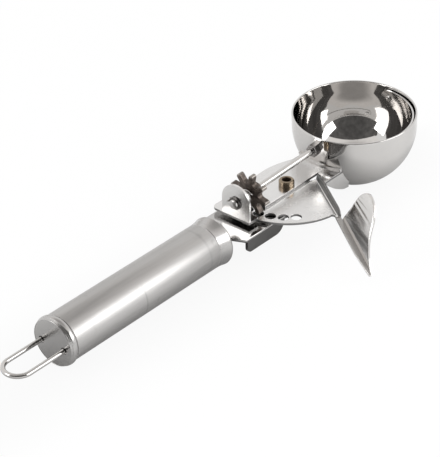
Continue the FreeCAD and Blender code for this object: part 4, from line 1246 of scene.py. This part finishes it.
class SCOOP_OT_stage(bpy.types.Operator):
    """Set the floor, the soft lamps, the dark cards and the camera"""

    bl_idname = "scoop.stage"
    bl_label = "Studio stage"

    def execute(self, context):
        stage = context.scene.scoop_stage
        context.scene.view_settings.view_transform = "Standard"
        self.world(context.scene, stage)
        self.floor(stage)
        self.lamps(stage)
        self.cards(stage)
        self.camera(context.scene)
        return {"FINISHED"}

    def rays(self, graph):
        """1 for camera rays, and 1 for the rays of gloss and glass."""
        path = graph.add("ShaderNodeLightPath", output="Is Camera Ray")
        return path, graph.maths("MAXIMUM", path.out("Is Glossy Ray"), path.out("Is Transmission Ray"))

    def world(self, scene, stage):
        """Even light for the scoop, and white for the rays that should meet the background."""
        world = bpy.data.worlds.new("white_studio")
        world.use_nodes = True
        scene.world = world
        graph = Graph(world.node_tree)
        fill = graph.glow("ShaderNodeBackground", WHITE, stage.fill)
        white = graph.glow("ShaderNodeBackground", WHITE, 1.0)
        seen = graph.maths("MAXIMUM", *self.rays(graph))
        graph.surface(graph.add("ShaderNodeMixShader", {0: seen, 1: fill, 2: white}),
                      "ShaderNodeOutputWorld")

    def floor(self, stage):
        """A round floor that touches the bowl's foot and the rear cap, and fades to white."""
        bm = bmesh.new()
        rings = [0.0] + [120 * 1.35 ** step for step in range(12)]
        foot = Matrix.Translation((205.0 * MM, 0, -13.97 * MM))
        lean = Matrix.Rotation(atan2(2.35, 202.0), 4, "Y")
        middle = foot @ lean @ at(-85.0, 0, 0)
        lathed = []
        for radius in rings:
            angles = [2 * pi * i / 96 for i in range(96 if radius else 1)]
            lathed.append([bm.verts.new(middle @ Vector((radius * cos(a), radius * sin(a), 0)))
                           for a in angles])
        for ring, other in zip(lathed, lathed[1:]):
            bridge(bm, ring, other)
        bmesh.ops.recalc_face_normals(bm, faces=bm.faces[:])
        if sum(face.normal.z for face in bm.faces) < 0:
            bmesh.ops.reverse_faces(bm, faces=bm.faces[:])
        floor = new_object("studio_floor", to_mesh(bm, "studio_floor"))
        floor.data.materials.append(self.paper(stage))
        floor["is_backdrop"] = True

    def paper(self, stage):
        """Matt paper that keeps the scoop's shadow, with a painted shadow along the scoop as well, darkest
        close under it.
        """
        material, graph = new_material("pale_floor")
        place = graph.place()
        centred = graph.add("ShaderNodeVectorMath", {0: place, 1: (120.0 * MM, 0, 0)},
                            operation="SUBTRACT")
        far = graph.distance(centred)
        seen, bounced = self.rays(graph)
        white_share = (seen * graph.ramp(far, 0.16, 0.50, 0.92, 1.0)
                       + bounced * graph.ramp(far, 0.17, 0.40, 0.0, 1.0))
        # Painted shadow: the paper's colour is brought down to 0.58 of itself along the scoop's axis and
        # back to full 50 mm to the side; past the bowl's far end it fades out.
        along, beside, _ = graph.parts(place)
        past_bowl = graph.ramp(along, 0.235, 0.300)
        painted_contact_shadow = graph.ramp(graph.maths("ABSOLUTE", beside) + past_bowl * 0.06, 0.004, 0.050, 0.58, 1.0)
        speckle = graph.noise(place, 900.0, 2.0)
        paper = graph.mix(speckle, colour_of(stage.floor, 0.985), colour_of(stage.floor, 1.015))
        paper = graph.mix(painted_contact_shadow, colour_of(stage.floor, 0.0), paper)
        matt = graph.add("ShaderNodeBsdfDiffuse", {"Color": paper})
        white = graph.glow("ShaderNodeEmission", WHITE, 1.0)
        graph.surface(graph.add("ShaderNodeMixShader", {0: white_share, 1: matt, 2: white}))
        return material

    def aim(self, thing, azimuth, elevation, distance):
        """Puts something in a direction seen from the scoop, and turns it to face the scoop."""
        target = Vector((120.0, -5.0, 5.0)) * MM
        a, e = radians(azimuth), radians(elevation)
        back = Vector((cos(e) * cos(a), cos(e) * sin(a), sin(e)))
        thing.location = target + back * distance
        thing.rotation_mode = "QUATERNION"
        thing.rotation_quaternion = (-back).to_track_quat("-Z", "Y")

    def lamps(self, stage):
        for name, azimuth, elevation, distance, wide, high, share in (
                ("softbox_left", 152, 25, 1.1, 0.50, 0.38, 0.55),
                ("softbox_right", -68, 26, 1.1, 0.95, 0.48, 1.0)):
            lamp = bpy.data.lights.new(name, "AREA")
            lamp.shape, lamp.size, lamp.size_y = "RECTANGLE", wide, high
            lamp.energy = stage.key * share
            holder = new_object(name, lamp)
            holder.visible_camera = False
            self.aim(holder, azimuth, elevation, distance)

    def cards(self, stage):
        """Dark cards out of the camera's sight, which polished metal needs to look like metal."""
        for name, azimuth, elevation, distance, wide, high, middle, edge, cloudy in (
                ("grey_card_above", 45, 80, 1.2, 2.6, 2.2, 0.50, 1.0, 0.3),
                ("grey_card_far", 45, 9, 1.3, 1.3, 0.36, 0.74, 0.74, 0.1),
                ("dark_card_camera_side", -140, 36, 1.25, 3.0, 1.5, 0.10, 0.13, 1.5)):
            mesh = bpy.data.meshes.new(name)
            mesh.from_pydata([(x * wide / 2, y * high / 2, 0)
                              for x, y in ((-1, -1), (1, -1), (1, 1), (-1, 1))], [], [(0, 1, 2, 3)])
            card = new_object(name, mesh)
            self.aim(card, azimuth, elevation, distance)
            material, graph = new_material(name)
            place = graph.place()
            cloud = 1.0 + (graph.noise(place, 3.5, 3.0, 0.6) - 0.5) * cloudy
            level = graph.ramp(graph.distance(place), 0.35, 1.0, middle * stage.card, edge * stage.card)
            graph.surface(graph.glow("ShaderNodeEmission", WARM_WHITE, level * cloud))
            mesh.materials.append(material)
            card.visible_camera = False
            card.visible_diffuse = False
            card.visible_shadow = False
            card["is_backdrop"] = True

    def camera(self, scene):
        """The photograph's own camera: its place and turn come from matching the bowl and tube."""
        lens = bpy.data.cameras.new("photo_camera")
        lens.sensor_fit, lens.sensor_width, lens.lens = "AUTO", 36.0, 141.80
        lens.clip_start, lens.clip_end = 0.01, 20.0
        holder = new_object("photo_camera", lens)
        right = Vector((0.65107593, -0.75896939, -0.00809968))
        down = Vector((-0.41267328, -0.34501197, -0.84301097))
        ahead = Vector((0.63702504, 0.55220667, -0.53783538))
        place = Matrix((right, -down, -ahead)).transposed().to_4x4()
        place.translation = Vector((-0.40727635, -0.44501054, 0.43750356))
        holder.matrix_world = place
        scene.camera = holder


# ---------------------------------------------------------------- panel and registration

BUILD_ORDER = (
    SCOOP_OT_stage, SCOOP_OT_handle_tube, SCOOP_OT_end_caps, SCOOP_OT_hanging_loop,
    SCOOP_OT_tang_parts, SCOOP_OT_frame_sheets, SCOOP_OT_pivot, SCOOP_OT_lever, SCOOP_OT_rod,
    SCOOP_OT_star_wheel, SCOOP_OT_return_spring, SCOOP_OT_bowl, SCOOP_OT_scraper,
)


class SCOOP_PT_build(bpy.types.Panel):
    """Lists the settings and the pieces of the scoop"""

    bl_idname = "SCOOP_PT_build"
    bl_label = "Lever scoop"
    bl_space_type = "VIEW_3D"
    bl_region_type = "UI"
    bl_category = "Scoop"

    def draw(self, context):
        for group in (context.scene.scoop_sizes, context.scene.scoop_finish, context.scene.scoop_stage):
            box = self.layout.box()
            for name in group.__annotations__:
                box.prop(group, name)
        column = self.layout.column()
        for operator in BUILD_ORDER:
            column.operator(operator.bl_idname)


CLASSES = (ScoopSizes, ScoopFinish, ScoopStage) + BUILD_ORDER + (SCOOP_PT_build,)


def register():
    for item in CLASSES:
        bpy.utils.register_class(item)
    bpy.types.Scene.scoop_sizes = PointerProperty(type=ScoopSizes)
    bpy.types.Scene.scoop_finish = PointerProperty(type=ScoopFinish)
    bpy.types.Scene.scoop_stage = PointerProperty(type=ScoopStage)


def unregister():
    del bpy.types.Scene.scoop_stage
    del bpy.types.Scene.scoop_finish
    del bpy.types.Scene.scoop_sizes
    for item in reversed(CLASSES):
        bpy.utils.unregister_class(item)


def corners():
    return [list(corner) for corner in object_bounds()]


def main():
    register()
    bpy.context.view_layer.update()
    for operator in BUILD_ORDER:
        group, name = operator.bl_idname.split(".")
        getattr(getattr(bpy.ops, group), name)()


if __name__ == "__main__":
    main()
